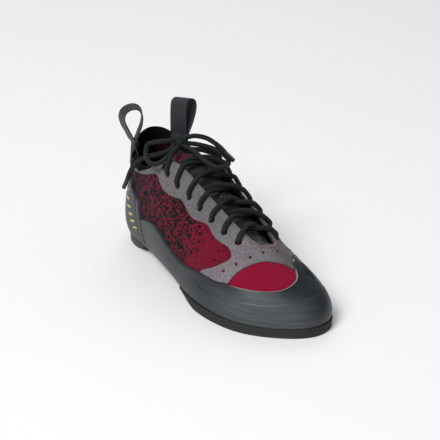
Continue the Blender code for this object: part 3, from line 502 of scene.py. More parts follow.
class Paint:
    """One procedural material, with its nodes made from expressions."""

    def __init__(self, name, roughness, specular=0.5):
        self.material = bpy.data.materials.new(name)
        self.material.use_nodes = True
        self.tree = self.material.node_tree
        self.shader = self.tree.nodes["Principled BSDF"]
        self.shader.inputs["Roughness"].default_value = roughness
        self.shader.inputs["Specular IOR Level"].default_value = specular

    def feed(self, socket, value):
        """Links a value to a socket, or sets a number or colour on it."""
        if isinstance(value, Value):
            self.tree.links.new(value.socket, socket)
        elif hasattr(value, "__len__") and len(value) == 3 and len(socket.default_value) == 4:
            socket.default_value = (*value, 1.0)
        else:
            socket.default_value = value

    def node(self, kind, settings=None, inputs=None, output=0):
        """Any node: its settings first, then the values or links of its sockets."""
        made = self.tree.nodes.new(kind)
        for key, value in (settings or {}).items():
            setattr(made, key, value)
        for key, value in (inputs or {}).items():
            self.feed(made.inputs[key], value)
        return Value(self, made.outputs[output])

    def place(self):
        return self.node("ShaderNodeTexCoord", output="Object")

    def tag(self, name, part=None):
        """A named coordinate that the mesh carries, whole or one part of it."""
        whole = self.node("ShaderNodeAttribute", {"attribute_name": name}, output="Vector")
        return whole if part is None else self.split(whole)[part]

    def split(self, vector):
        made = self.node("ShaderNodeSeparateXYZ", {}, {0: vector}).socket.node
        return [Value(self, socket) for socket in made.outputs]

    def join(self, x, y, z=0.0):
        return self.node("ShaderNodeCombineXYZ", {}, {0: x, 1: y, 2: z})

    def scaled(self, vector, scale):
        return self.node("ShaderNodeVectorMath", {"operation": "MULTIPLY"}, {0: vector, 1: scale})

    def toned(self, tint, tone):
        """A tint made lighter or darker by a tone that changes over the surface."""
        return self.node("ShaderNodeVectorMath", {"operation": "SCALE"}, {0: tuple(tint), "Scale": tone})

    def noise(self, vector, scale, detail=2.0, roughness=0.5):
        return self.node("ShaderNodeTexNoise", {}, {"Vector": vector, "Scale": scale, "Detail": detail,
                                                    "Roughness": roughness})

    def random(self, vector):
        return self.node("ShaderNodeTexWhiteNoise", {"noise_dimensions": "3D"}, {"Vector": vector})

    def mix(self, share, first, second):
        made = self.node("ShaderNodeMix", {"data_type": "RGBA"}).socket.node
        for key, value in (("Factor_Float", share), ("A_Color", first), ("B_Color", second)):
            self.feed(next(s for s in made.inputs if s.identifier == key), value)
        return Value(self, next(s for s in made.outputs if s.identifier == "Result_Color"))

    def set(self, **values):
        """Feeds the shader's own sockets, named with _ for a space."""
        for key, value in values.items():
            self.feed(self.shader.inputs[key.replace("_", " ")], value)

    def bump(self, height, distance):
        """Relief in metres from a height between 0 and 1."""
        normal = self.node("ShaderNodeBump", {}, {"Height": height, "Distance": distance, "Strength": 1.0})
        self.feed(self.shader.inputs["Normal"], normal)


def stitches(along, across, wale, course):
    """Relief of plain knit: rows of slanting legs, from 0 between the wales to 1 on a leg."""
    arm = ((across / wale).fraction() - 0.5).size()
    leg = (along / course + arm * 1.1).wave()
    round_arm = 1.0 - ((arm - 0.26) / 0.26).size() ** 2.0
    return round_arm * (0.55 + leg * 0.45)


def knit_paint():
    """Crimson and black knit. weave holds the yarn's run and cross run in mm, and how red it is."""
    c = colours()
    paint = Paint("knit", 0.82, 0.05)
    along, across, red = paint.split(paint.tag("weave"))
    x = paint.split(paint.place())[0]
    relief = stitches(along, across, WALE, COURSE)
    cell = paint.join((along / CELL).floor(), (across / WALE).floor())
    block = paint.join((along / (2 * CELL)).floor(), (across / WALE / 2).floor(), 5.0)
    patch = paint.noise(paint.join(along * 0.14, across * 0.17), 1.0, 2.0)
    chance = red + (patch - 0.5) * 0.75 + (paint.random(block) - 0.5) * 0.30
    yarn = (chance - paint.random(cell)).ramp(-0.14, 0.14)
    toes = red.ramp(1.2, 1.5)
    arm = ((across / WALE).fraction() - 0.5).size()
    # Painted shadow between the wales: darkened to the dark yarn's colour on the panel and to a dark red in
    # the toe window.
    between = arm.ramp(0.12, 0.28) * (0.97 - toes * 0.13)
    # Painted shade and sheen: the red turns darker and purpler towards the heel, where the light falls off.
    rear_shade_and_sheen = paint.mix(x.ramp(-0.072, -0.112) * 0.85, tuple(c.red), REAR_SHADE_AND_SHEEN_RED)
    lit = paint.mix(toes * arm.ramp(0.20, 0.04) * relief * 0.35, rear_shade_and_sheen, LIT_RED)
    body = paint.mix(x.ramp(-0.112, -0.128) * 0.75, paint.mix(yarn, tuple(c.dark), lit), HEEL_YARN)
    groove_shadow = paint.mix(toes, tuple(c.dark), TOE_GROOVE_SHADOW)
    paint.set(Base_Color=paint.mix(between, body, groove_shadow), Roughness=0.74 + relief * 0.14,
              Sheen_Weight=0.03, Sheen_Roughness=0.5)
    paint.bump(relief, 0.00022)
    return paint.material


def lining_paint():
    """Black knitted lining, with red yarn showing through inside the heel."""
    paint = Paint("lining", 0.92, 0.10)
    along, across, red = paint.split(paint.tag("weave"))
    relief = stitches(along, across, LINING_WALE, LINING_COURSE)
    cell = paint.join((along / LINING_CELL).floor(), (across / LINING_WALE).floor(), 3.0)
    yarn = (red - paint.random(cell)).ramp(-0.05, 0.05)
    wear_and_painted_light = paint.noise(paint.place(), 70.0, 3.0) * 0.8 + 0.6
    paint.set(Base_Color=paint.mix(yarn * 0.5, paint.toned(colours().lining, wear_and_painted_light), LINING_RED))
    paint.bump(relief, 0.00018)
    return paint.material


def microfibre_paint():
    """Sueded grey microfibre: short nap, cloudy brushing, darker cut edges, and painted shade on the inner
    side and towards the back.
    """
    paint = Paint("microfibre", 0.88, 0.12)
    place = paint.place()
    nap = paint.noise(place, 2600.0, 3.0, 0.7)
    fleck = paint.noise(place, 950.0, 2.0, 0.6)
    cloud = paint.noise(place, 75.0, 3.0, 0.55)
    x, y, _ = paint.split(place)
    # Painted shade: the grey is darker on the inner side and towards the back.
    painted_shade = (1.0 - y.ramp(-0.012, 0.018) * 0.62) * (1.0 - x.ramp(0.030, -0.020) * 0.30)
    tone = (cloud * 0.42 + fleck.ramp(0.34, 0.66) * 0.60 + 0.50) * painted_shade
    warm = paint.mix(fleck.ramp(0.52, 0.70) * 0.35, paint.toned(colours().overlay, tone), WARM_FLECK)
    cool = paint.mix(nap.ramp(0.55, 0.72) * 0.30, warm, COOL_FLECK)
    cut = 1.0 - paint.tag("edge", 0).ramp(0.10, 0.60)
    paint.set(Base_Color=paint.mix(cut * 0.35, cool, CUT_EDGE), Roughness=0.80 + nap * 0.14,
              Sheen_Weight=0.12, Sheen_Roughness=0.6)
    paint.bump(nap * 0.6 + fleck * 0.4, 0.00010)
    return paint.material


def rand_paint():
    """Rubber with rolled streaks, scuffs, a painted sheen over the toe's front and a buffed edge. weave
    holds run, level and shade.
    """
    gloss, streak = 0.42, 0.40
    paint = Paint("rand_rubber", gloss, 0.36)
    place = paint.place()
    run, level, shade = paint.split(paint.tag("weave"))
    edge = paint.tag("edge", 0)
    rolled = paint.noise(paint.join(run * 0.02, level * 0.55), 1.0, 4.0, 0.6)
    grain = paint.noise(place, 1500.0, 3.0, 0.65)
    cloud = paint.noise(place, 38.0, 4.0, 0.6)
    scuff = paint.noise(paint.scaled(place, (60.0, 60.0, 420.0)), 1.0, 5.0, 0.7)
    tone = cloud * 0.80 + rolled * streak + grain * 0.24 + 0.40 - streak * 0.5
    body = paint.toned(colours().rubber, tone)
    x, y, z = paint.split(place)
    # Painted sheen: the toe's front is made paler, with the same tint as the scuffs.
    toe_front_sheen = x.ramp(-0.005, 0.050) * y.ramp(0.026, -0.006) * z.ramp(0.036, 0.024)
    scuffed_and_sheen = paint.mix(scuff.ramp(0.56, 0.76) * 0.22 + toe_front_sheen * rolled, body, SCUFF_AND_SHEEN)
    buffed = (1.0 - edge.ramp(0.25, 0.75)) * (0.35 + cloud * 0.5)
    rimmed = paint.mix(buffed * 0.22, scuffed_and_sheen, BUFFED)
    # The shade lightens to the pale hem along the window and the heel's strip, and to a painted highlight on
    # the toe sheet's edge near its tip.
    hemmed = paint.mix(shade.ramp(0.0, 1.0), rimmed, HEM_AND_GLINT)
    # Painted shadow: where the shade goes below zero, the toe slits are coloured near black.
    paint.set(Base_Color=paint.mix(shade.ramp(0.0, -1.0), hemmed, SLIT_SHADOW),
              Roughness=gloss - 0.06 + cloud * 0.12 + scuff.ramp(0.55, 0.8) * 0.14)
    paint.bump(grain * 0.35 + rolled * 0.5 + scuff * 0.15, 0.00016)
    return paint.material


def sole_paint():
    """Matt wear rubber, with the fine lines of its moulded side and dust from the floor."""
    paint = Paint("sole_rubber", 0.70, 0.25)
    place = paint.place()
    z = paint.split(place)[2]
    grain = paint.noise(place, 1300.0, 3.0, 0.7)
    cloud = paint.noise(place, 45.0, 4.0, 0.6)
    lines = paint.noise(paint.scaled(place, (25.0, 25.0, 1500.0)), 1.0, 3.0, 0.6)
    body = paint.toned(colours().sole, cloud * 0.5 + lines * 0.3 + grain * 0.2 + 0.5)
    dust = (1.0 - z.ramp(0.0, 0.0030)) * cloud.ramp(0.42, 0.68)
    paint.set(Base_Color=paint.mix(dust * 0.18, body, FLOOR_DUST), Roughness=0.62 + cloud * 0.16)
    paint.bump(lines * 0.6 + grain * 0.4, 0.00018)
    return paint.material


def lace_paint():
    """Round braid: two sets of strands that cross in fine diamonds. weave is run and turn."""
    paint = Paint("lace", 0.55, 0.25)
    run, turn, _ = paint.split(paint.tag("weave"))
    right = ((run / BRAID_RUN + turn * BRAID_STRANDS) * (2 * math.pi)).sin()
    left = ((run / BRAID_RUN - turn * BRAID_STRANDS) * (2 * math.pi)).sin()
    relief = (right * left) * 0.5 + 0.5
    fleck = paint.noise(paint.place(), 1400.0, 2.0, 0.6)
    # Painted light and shade: the colour is lighter on the strands' crowns and darker where they dip under
    # each other.
    paint.set(Base_Color=paint.toned(colours().lace, relief * 2.3 + fleck * 0.8 - 0.25),
              Roughness=0.60 + fleck * 0.2)
    paint.bump(relief, 0.00040)
    return paint.material


def webbing_paint():
    """Woven tape: warp ribs along it, weft across, and a firmer selvedge."""
    paint = Paint("webbing", 0.55, 0.30)
    run, across, edge = paint.split(paint.tag("weave"))
    shift = (across / TAPE_WARP).floor() * 0.5
    relief = across.wave(TAPE_WARP) * 0.6 + (run / TAPE_WEFT + shift).wave() * 0.4
    fleck = paint.noise(paint.place(), 900.0, 2.0)
    body = paint.toned(colours().webbing, relief * 0.45 + fleck * 0.6 + 0.45)
    paint.set(Base_Color=paint.mix((1.0 - edge.ramp(0.4, 1.3)) * 0.5, body, SELVEDGE))
    paint.bump(relief, 0.00014)
    return paint.material


def tongue_paint():
    """Black ribbed stretch knit with a crimson patch near the top, and painted light towards the toe end."""
    c = colours()
    paint = Paint("tongue_knit", 0.80, 0.15)
    run, across, red = paint.split(paint.tag("weave"))
    ribs, fine = run.wave(TONGUE_RIB), across.wave(1.7)
    fleck = paint.noise(paint.place(), 800.0, 2.0)
    # Painted light: the knit is made lighter towards the toe end, where it lies in the laces' shadow.
    wear_and_painted_light = paint.split(paint.place())[0].ramp(-0.020, 0.020) * 1.4 + 1.0
    black = paint.toned(c.lining, (ribs * 1.2 + fine * 6.5 + fleck * 2.0) * wear_and_painted_light)
    cell = paint.join((run / 1.6).floor(), (across / 1.2).floor(), 7.0)
    yarn = (red - paint.random(cell)).ramp(-0.05, 0.15)
    paint.set(Base_Color=paint.mix(yarn * (0.25 + fine * 0.5), black, tuple(c.red)))
    paint.bump(ribs * 0.7 + fine * 0.3, 0.00030)
    return paint.material


def plain_paint(name, tint, roughness, grain_scale, relief, specular=0.4):
    """A single-coloured finish with its own fine grain and slight tone changes."""
    paint = Paint(name, roughness, specular)
    place = paint.place()
    grain = paint.noise(place, grain_scale, 3.0, 0.6)
    cloud = paint.noise(place, 60.0, 3.0)
    paint.set(Base_Color=paint.toned(tint, cloud * 0.4 + grain * 0.3 + 0.65),
              Roughness=roughness - 0.05 + cloud * 0.1)
    paint.bump(grain, relief)
    return paint.material


def floor_paint():
    """Smooth painted studio floor."""
    paint = Paint("studio_floor", 0.75, 0.15)
    cloud = paint.noise(paint.place(), 3.0, 2.0)
    paint.set(Base_Color=paint.toned(colours().floor, cloud * 0.02 + 0.99))
    return paint.material


PAINTS = {
    "knit": knit_paint,
    "lining": lining_paint,
    "microfibre": microfibre_paint,
    "rand": rand_paint,
    "sole": sole_paint,
    "lace": lace_paint,
    "webbing": webbing_paint,
    "tongue": tongue_paint,
    "tip": lambda: plain_paint("lace_tip", TIP_BLACK, 0.35, 500.0, 0.00003, 0.5),
    "thread": lambda: plain_paint("pink_thread", THREAD_PINK, 0.8, 2500.0, 0.00006),
    "bars": lambda: plain_paint("heel_print", colours().mark, 0.6, 1200.0, 0.00004),
    "hole": lambda: plain_paint("punched_hole", HOLE_RED, 0.85, 1500.0, 0.00005, 0.2),
    "floor": floor_paint,
}


@functools.lru_cache(maxsize=None)
def paint(name):
    return PAINTS[name]()


def make_piece(name, places, faces, looks, nodes=(), tags=None, second=None):
    """One visible piece: its mesh, coordinates, materials, slot and the nodes that it stands for."""
    mesh = bpy.data.meshes.new(name)
    mesh.from_pydata([tuple(p) for p in places], [], faces)
    for key, values in (tags or {}).items():
        layer = mesh.attributes.new(key, "FLOAT_VECTOR", "POINT")
        layer.data.foreach_set("vector", np.asarray(values, np.float32).ravel())
    for look in looks:
        mesh.materials.append(paint(look))
    if second is not None:
        mesh.polygons.foreach_set("material_index", np.asarray(second, np.int32))
    mesh.shade_smooth()
    mesh.set_sharp_from_angle(angle=math.radians(SMOOTH_UP_TO))
    mesh.validate()
    made = bpy.data.objects.new(name, mesh)
    bpy.context.scene.collection.objects.link(made)
    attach(made, "root")
    if nodes:
        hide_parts(*nodes)
    return made


def slab(name, faces, outside, inside, looks, nodes=(), tags=None):
    """A closed piece from one set of faces laid outside and inside, joined along its rims."""
    count = len(outside)
    sides = dict.fromkeys(side for face in faces for side in zip(face, face[1:] + face[:1]))
    rims = [(b, a, a + count, b + count) for a, b in sides if (b, a) not in sides]
    whole = list(faces) + [tuple(i + count for i in reversed(face)) for face in faces] + rims
    inner = [0] * len(faces) + [len(looks) - 1] * len(faces) + [0] * len(rims)
    if tags:
        tags = {key: np.vstack([values, values] if not isinstance(values, tuple) else values)
                for key, values in tags.items()}
    return make_piece(name, np.vstack([outside, inside]), whole, looks, nodes, tags, inner)


def columns_between(start, end, spacing=0.05):
    """An odd number of stations, so that one lies in the middle."""
    return np.linspace(start, end, 2 * max(2, round((end - start) / spacing / 2)) + 1)


def wall_coordinates(last, station, height):
    """Run round the shoe and height on the wall, in mm."""
    stations = np.linspace(-TURN / 2, TURN * 1.5, 900)
    run = gone_along(last.place(stations, 0.5)) * 1000
    heights = np.linspace(0.0, 1.0, 40)
    wall = last.place(np.asarray(station)[..., None], heights)
    length = np.linalg.norm(np.diff(wall, axis=-2), axis=-1)
    start = np.zeros(length.shape[:-1] + (1,))
    climbed = np.concatenate([start, np.cumsum(length, axis=-1)], axis=-1) * 1000
    flat = zip(np.broadcast_to(height, np.shape(station)).ravel(), climbed.reshape(-1, heights.size))
    level = np.array([np.interp(at, heights, up) for at, up in flat]).reshape(np.shape(station))
    return np.interp(station, stations, run), level


class Cut:
    """Depths in mm inside a region of the wall, which each call makes smaller."""

    def __init__(self, last, station, height):
        self.last, self.station, self.height = last, station, height
        self.places = last.place(station, height).reshape(-1, 3)
        self.depth = np.full(station.shape, DEEP)

    def away(self, curve):
        """Distance in mm from each place to a curve on the wall."""
        tree = KDTree(len(curve))
        for i, place in enumerate(self.last.place(curve[:, 0], curve[:, 1])):
            tree.insert(place, i)
        tree.balance()
        away = [tree.find(place)[2] for place in self.places]
        return np.array(away).reshape(self.station.shape) * 1000

    def keep(self, inside, away):
        """Keep only a region, whose edge lies so many mm away from each place."""
        self.depth = np.minimum(self.depth, np.where(inside, 1, -1) * away)
        return self

    def above(self, line, margin):
        """Keep what lies above a line by a margin in mm."""
        curve = catmull(line, 24)
        over = self.height > np.interp(self.station, curve[:, 0], curve[:, 1])
        return self.keep(over, self.away(curve) - np.where(over, margin, -margin))

    def below(self, line):
        """Keep what lies below a line."""
        curve = catmull(line, 24)
        under = self.height < np.interp(self.station, curve[:, 0], curve[:, 1])
        return self.keep(under, self.away(curve))

    def clear_of(self, outline, mirrored=False):
        """Keep what lies outside a closed outline."""
        curve = catmull(tuple(outline) + (outline[0],), 16)
        if mirrored:
            curve[:, 0] = TURN - curve[:, 0]
        inside = np.zeros(self.station.shape, bool)
        for (sa, ta), (sb, tb) in zip(curve, curve[1:]):
            crosses = (ta > self.height) != (tb > self.height)
            if crosses.any():
                at = sa + (self.height - ta) / (tb - ta if tb != ta else 1e-12) * (sb - sa)
                inside ^= crosses & (self.station < at)
        return self.keep(~inside, self.away(resample(curve, 0.02)))

    def holes(self, radius):
        """Keep what lies outside the lace holes."""
        for station, height in EYELETS:
            for side in (station, other_side(station)):
                centre = self.last.place(side, height)
                away = np.linalg.norm(self.places - centre, axis=1).reshape(self.station.shape) * 1000
                self.depth = np.minimum(self.depth, away - radius * 1000)
        return self


def cut_grid(station, height, depth, closed=False):
    """The part of a grid where depth is positive: its (station, height, depth) places and faces."""
    columns, rows = depth.shape
    wrap = columns - 1 if closed else columns
    number, places, faces = {}, [], []

    def corner(i, j):
        key = (i % wrap, j)
        if key not in number:
            number[key] = len(places)
            places.append((station[i, j], height[i, j], depth[i, j]))
        return number[key]

    def crossing(i, j, k, l):
        key = tuple(sorted(((i % wrap, j), (k % wrap, l))))
        if key not in number:
            share = depth[i, j] / (depth[i, j] - depth[k, l])
            number[key] = len(places)
            places.append((station[i, j] + (station[k, l] - station[i, j]) * share,
                           height[i, j] + (height[k, l] - height[i, j]) * share, 0.0))
        return number[key]

    inside = depth > 0
    for i in range(columns - 1):
        for j in range(rows - 1):
            ring = ((i, j), (i + 1, j), (i + 1, j + 1), (i, j + 1))
            kept = [inside[c] for c in ring]
            if not any(kept):
                continue
            if all(kept):
                faces.append(tuple(corner(*c) for c in ring))
                continue
            face = []
            for a, b, has, next_has in zip(ring, ring[1:] + ring[:1], kept, kept[1:] + kept[:1]):
                if has:
                    face.append(corner(*a))
                if has != next_has:
                    face.append(crossing(*a, *b))
            face = list(dict.fromkeys(face))
            if len(face) > 2:
                faces.append(tuple(face))
    return np.array(places), faces


def wall_grid(start, end, spacing, heights):
    """Stations and heights of a grid of places on the wall."""
    columns = columns_between(start, end, spacing)
    station, height = np.meshgrid(columns, np.asarray(heights, float), indexing="ij")
    return station, height


def rounded(depth, reach):
    """Share of a sheet's thickness near its cut edge, which is rounded over reach mm."""
    inward = np.clip(depth / reach, 0.0, 1.0)
    return np.sqrt(np.clip(1.0 - (1.0 - inward) ** 2, 0.0, 1.0)) * (1.0 - RIM_SHARE) + RIM_SHARE


def weave_tag(run, level, third):
    """The coordinate that fabrics, laces and rubber read: two lengths in mm and a third value."""
    return np.stack([run, level, np.broadcast_to(third, np.shape(run))], axis=-1).reshape(-1, 3)


def edge_tag(depth):
    """The coordinate that cut edges read: mm from the edge."""
    return np.stack([np.asarray(depth, float)] * 3, axis=-1).reshape(-1, 3)


# Orders in which a grid's faces go round their corners, as steps along its columns and rows
WALL_RING = ((0, 0), (1, 0), (1, 1), (0, 1))
THROAT_RING = ((0, 0), (0, 1), (1, 1), (1, 0))
RUBBER_RING = ((0, 1), (1, 1), (1, 0), (0, 0))


def grid_faces(columns, rows, ring=WALL_RING, start=0):
    """Faces of a grid of places, laid column by column."""
    return [tuple(start + (i + a) * rows + j + b for a, b in ring)
            for i in range(columns - 1) for j in range(rows - 1)]


def ring_of(centre, side, up, radius, count):
    """Places round a centre, in the plane of two directions."""
    turns = [2 * math.pi * k / count for k in range(count)]
    return [centre + (side * math.cos(turn) + up * math.sin(turn)) * radius for turn in turns]


def ring_faces(low, high, count):
    """Faces from the ring of places that starts at low to the ring that starts at high."""
    return [(low + k, low + (k + 1) % count, high + (k + 1) % count, high + k) for k in range(count)]


def band(last, name, columns, heights, outer, inner, looks, nodes=(), third=0.0):
    """A piece whose rows follow its edges: heights and lifts are (columns, rows)."""
    station = np.repeat(columns[:, None], heights.shape[1], axis=1)
    run, level = wall_coordinates(last, station, heights)
    tags = {"weave": weave_tag(run, level, third), "edge": edge_tag(level[:, -1:] - level)}
    return slab(name, grid_faces(*heights.shape), last.point(station, heights, outer).reshape(-1, 3),
                last.point(station, heights, inner).reshape(-1, 3), looks, nodes, tags)


def rows_up_to(last, columns, top, count, bowed=1.08):
    """Heights from the feather line to a top line, close together near it, and depths under it in mm.

    bowed is the wall's length over its chord.
    """
    chord = np.linalg.norm(last.place(columns, 1.0) - last.place(columns, 0.0), axis=-1)[:, None]
    wall = chord * 1000 * bowed
    close = np.array(EDGE_ROWS)[::-1]
    even = np.linspace(0.0, 1.0, count)[None, :-1] * (top[:, None] - close[0] / wall)
    near = top[:, None] - close[None, :] / wall
    heights = np.hstack([even, near])
    return heights, (top[:, None] - heights) * wall


def with_floor(side, across):
    """A shell's places: its sides, column by column, then rows under the foot to the mirrored column."""
    count = len(side)
    floor = [side[i, -1] + (side[count - 1 - i, -1] - side[i, -1]) * k / across
             for i in range(count // 2) for k in range(1, across)]
    return np.vstack([side.reshape(-1, 3), np.array(floor)])


def faces_with_floor(columns, rows, across):
    """Faces of a shell that with_floor laid out."""
    half = columns // 2

    def under(i, k):
        if i == half:
            return half * rows + rows - 1
        if k in (0, across):
            return (i if k == 0 else columns - 1 - i) * rows + rows - 1
        return columns * rows + i * (across - 1) + k - 1

    faces = grid_faces(columns, rows, RUBBER_RING)
    for i in range(half):
        for k in range(across):
            ring = (under(i, k), under(i, k + 1), under(i + 1, k + 1), under(i + 1, k))
            faces.append(tuple(dict.fromkeys(ring)))
    return faces


def cup(s, last, name, columns, heights, lift, across, node, shade=0.0):
    """Rubber that comes down the wall, turns under at the feather line and runs on under the foot."""
    n, m = heights.shape
    station = np.repeat(columns[:, None], m, axis=1)
    angles = np.linspace(0.0, math.pi / 2, TURN_ROWS + 1)[1:]
    shells = []
    for raised, drop in ((lift, s.gap + s.rand), (np.full(heights.shape, NEAR_WALL), s.gap)):
        wall = last.point(station, heights[:, ::-1], raised[:, ::-1])
        turns = [last.feather(columns, raised[:, 0] * math.cos(a), drop * math.sin(a)) for a in angles]
        shells.append(with_floor(np.concatenate([wall, np.stack(turns, axis=1)], axis=1), across))
    flat = len(shells[0]) - n * (m + TURN_ROWS)
    run, level = wall_coordinates(last, station, heights[:, ::-1])
    runs = np.hstack([run, np.repeat(run[:, :1], TURN_ROWS, axis=1)])
    under = np.repeat(level[:, -1:], TURN_ROWS, axis=1) - np.arange(1, TURN_ROWS + 1) * UNDER_ROW
    shades = np.hstack([np.broadcast_to(shade, heights.shape)[:, ::-1], np.zeros((n, TURN_ROWS))])
    weave = np.vstack([weave_tag(runs, np.hstack([level, under]), shades), np.zeros((flat, 3))])
    edge = np.hstack([level[:, :1] - level, np.full((n, TURN_ROWS), DEEP)])
    edges = np.vstack([edge_tag(edge), np.full((flat, 3), DEEP)])
    slab(name, faces_with_floor(n, m + TURN_ROWS, across), shells[0], shells[1], ("rand",),
         (node,), {"weave": weave, "edge": edges})


def tube(name, centre, radius, look, nodes=(), round_ends=False):
    """A round cord along a route, with its braid's coordinates; radius may change along it."""
    centre = np.asarray(centre, float)
    n = len(centre)
    radius = np.broadcast_to(np.asarray(radius, float), (n,))
    length = gone_along(centre) * 1000
    run = np.gradient(centre, axis=0)
    run /= np.linalg.norm(run, axis=1, keepdims=True)
    side = np.array(Vector(run[0]).orthogonal().normalized())
    turn = np.arange(CORD_SIDES) / CORD_SIDES
    angle = 2 * math.pi * np.arange(CORD_SIDES) / CORD_SIDES
    rings, weave = [], []
    for i in range(n):
        side = side - run[i] * side.dot(run[i])
        side /= np.linalg.norm(side)
        circle = np.outer(np.cos(angle), side) + np.outer(np.sin(angle), np.cross(run[i], side))
        rings.append(centre[i] + circle * radius[i])
        weave.append(np.stack([np.full(CORD_SIDES, length[i]), turn, np.zeros(CORD_SIDES)], axis=1))
    faces = [face for i in range(n - 1)
             for face in ring_faces(i * CORD_SIDES, (i + 1) * CORD_SIDES, CORD_SIDES)]
    narrow, bulge = (0.35, 0.5) if round_ends else (0.75, 0.12)
    for end, order in ((0, -1), (n - 1, 1)):
        start = len(rings) * CORD_SIDES
        rings.append(centre[end] + (rings[end] - centre[end]) * narrow
                     + run[end] * order * radius[end] * bulge)
        weave.append(weave[end])
        faces += [face[::-order] for face in ring_faces(end * CORD_SIDES, start, CORD_SIDES)]
        faces.append(tuple(start + k for k in range(CORD_SIDES))[::order])
    return make_piece(name, np.vstack(rings), faces, (look,), nodes, {"weave": np.vstack(weave)})


def from_knot(route):
    return np.asarray(route, float) + np.array(KNOT_AT)


class ShoePiece(bpy.types.Operator):
    """Shared settings of the shoe's operators"""
    bl_options = {"REGISTER", "UNDO"}


class SHOE_OT_camera(ShoePiece):
    """Place the camera at the photograph's view"""
    bl_idname = "shoe.camera"
    bl_label = "Camera"

    def execute(self, context):
        azimuth, elevation, roll = map(math.radians, (VIEW_AZIMUTH, VIEW_ELEVATION, VIEW_ROLL))
        back = Vector((math.sin(azimuth) * math.cos(elevation), -math.cos(azimuth) * math.cos(elevation),
                       math.sin(elevation)))
        right = Vector((math.cos(azimuth), math.sin(azimuth), 0.0))
        up = back.cross(right)
        across = right * math.cos(roll) + up * math.sin(roll)
        upward = up * math.cos(roll) - right * math.sin(roll)
        data = bpy.data.cameras.new("camera")
        data.sensor_width = SENSOR
        data.lens = VIEW_FOCAL_PIXELS * SENSOR / PHOTO_WIDTH
        camera = bpy.data.objects.new("camera", data)
        camera.matrix_world = (Matrix.Translation(Vector(VIEW_AIM) + back * VIEW_DISTANCE)
                               @ Matrix((across, upward, back)).transposed().to_4x4())
        context.scene.collection.objects.link(camera)
        context.scene.camera = camera
        return {"FINISHED"}


class SHOE_OT_bow(ShoePiece):
    """Tie the bow: a knot, two loops and two ends with hard tips"""
    bl_idname = "shoe.bow"
    bl_label = "Bow"

    def execute(self, context):
        s = sizes()
        knot = self.knot(s)
        for name, route in (("lace_loop_outer", LOOP_OUTER), ("lace_loop_inner", LOOP_INNER)):
            self.cord(s, name, route, knot, "knot")
        for side, route in (("outer", END_OUTER), ("inner", END_INNER)):
            self.cord(s, "lace_end_" + side, route, self.tip(s, "lace_tip_" + side, route), "fitting")
        return {"FINISHED"}

    @staticmethod
    def cord(s, name, route, other, far_end):
        """One loop or end of the bow. The piece that it ends in is not used."""
        centre = resample(catmull(from_knot(route), 12), CORD_STEP)
        piece = tube("bow_" + name, centre, s.lace / 2, "lace", (name,))

    @staticmethod
    def tip(s, name, route):
        """A hard tip past the end of its lace, a little swollen where it grips."""
        centre = resample(catmull(from_knot(route), 12), CORD_STEP)
        run = from_knot(route)[-1] - from_knot(route)[-2]
        run /= np.linalg.norm(run)
        along = np.linspace(0.0, s.tip, 12)
        radius = s.tip_width / 2 * (1.0 + 0.05 * np.exp(-(along / 0.0008) ** 2))
        places = centre[-1] + run * s.gap + np.outer(along, run)
        return tube("hard_" + name, places, radius, "tip", (name,), round_ends=True)

    @staticmethod
    def knot(s):
        """The knot: a lace wound round a short bundle of laces."""
        middle = np.array(KNOT_AT)
        azimuth = math.radians(VIEW_AZIMUTH)
        bundle = np.array((math.cos(azimuth), math.sin(azimuth), 0.0))
        depth = np.array((-bundle[1], bundle[0], 0.0))
        up = np.array((0.0, 0.0, 1.0))
        turns = np.linspace(0.0, 2 * math.pi * 1.6, 90)
        wound = (middle + np.outer(np.cos(turns), depth) * 0.0036 + np.outer(np.sin(turns), up) * 0.0044
                 + np.outer((turns / turns[-1] - 0.5), bundle) * 0.0036)
        wrap = tube("bow_knot", wound, s.lace * 0.46, "lace", ("lace_knot",))
        core = np.array([middle + bundle * t * 0.0048 + up * 0.0008 * math.sin(3 * t)
                         for t in np.linspace(-1, 1, 16)])
        for i, (rise, back) in enumerate(((0.0014, 0.0), (-0.0012, 0.0012), (-0.0004, -0.0016))):
            strand = core + up * rise + depth * back
            tube(f"bow_knot_strand_{i + 1}", strand, s.lace * 0.42, "lace")
        return wrap


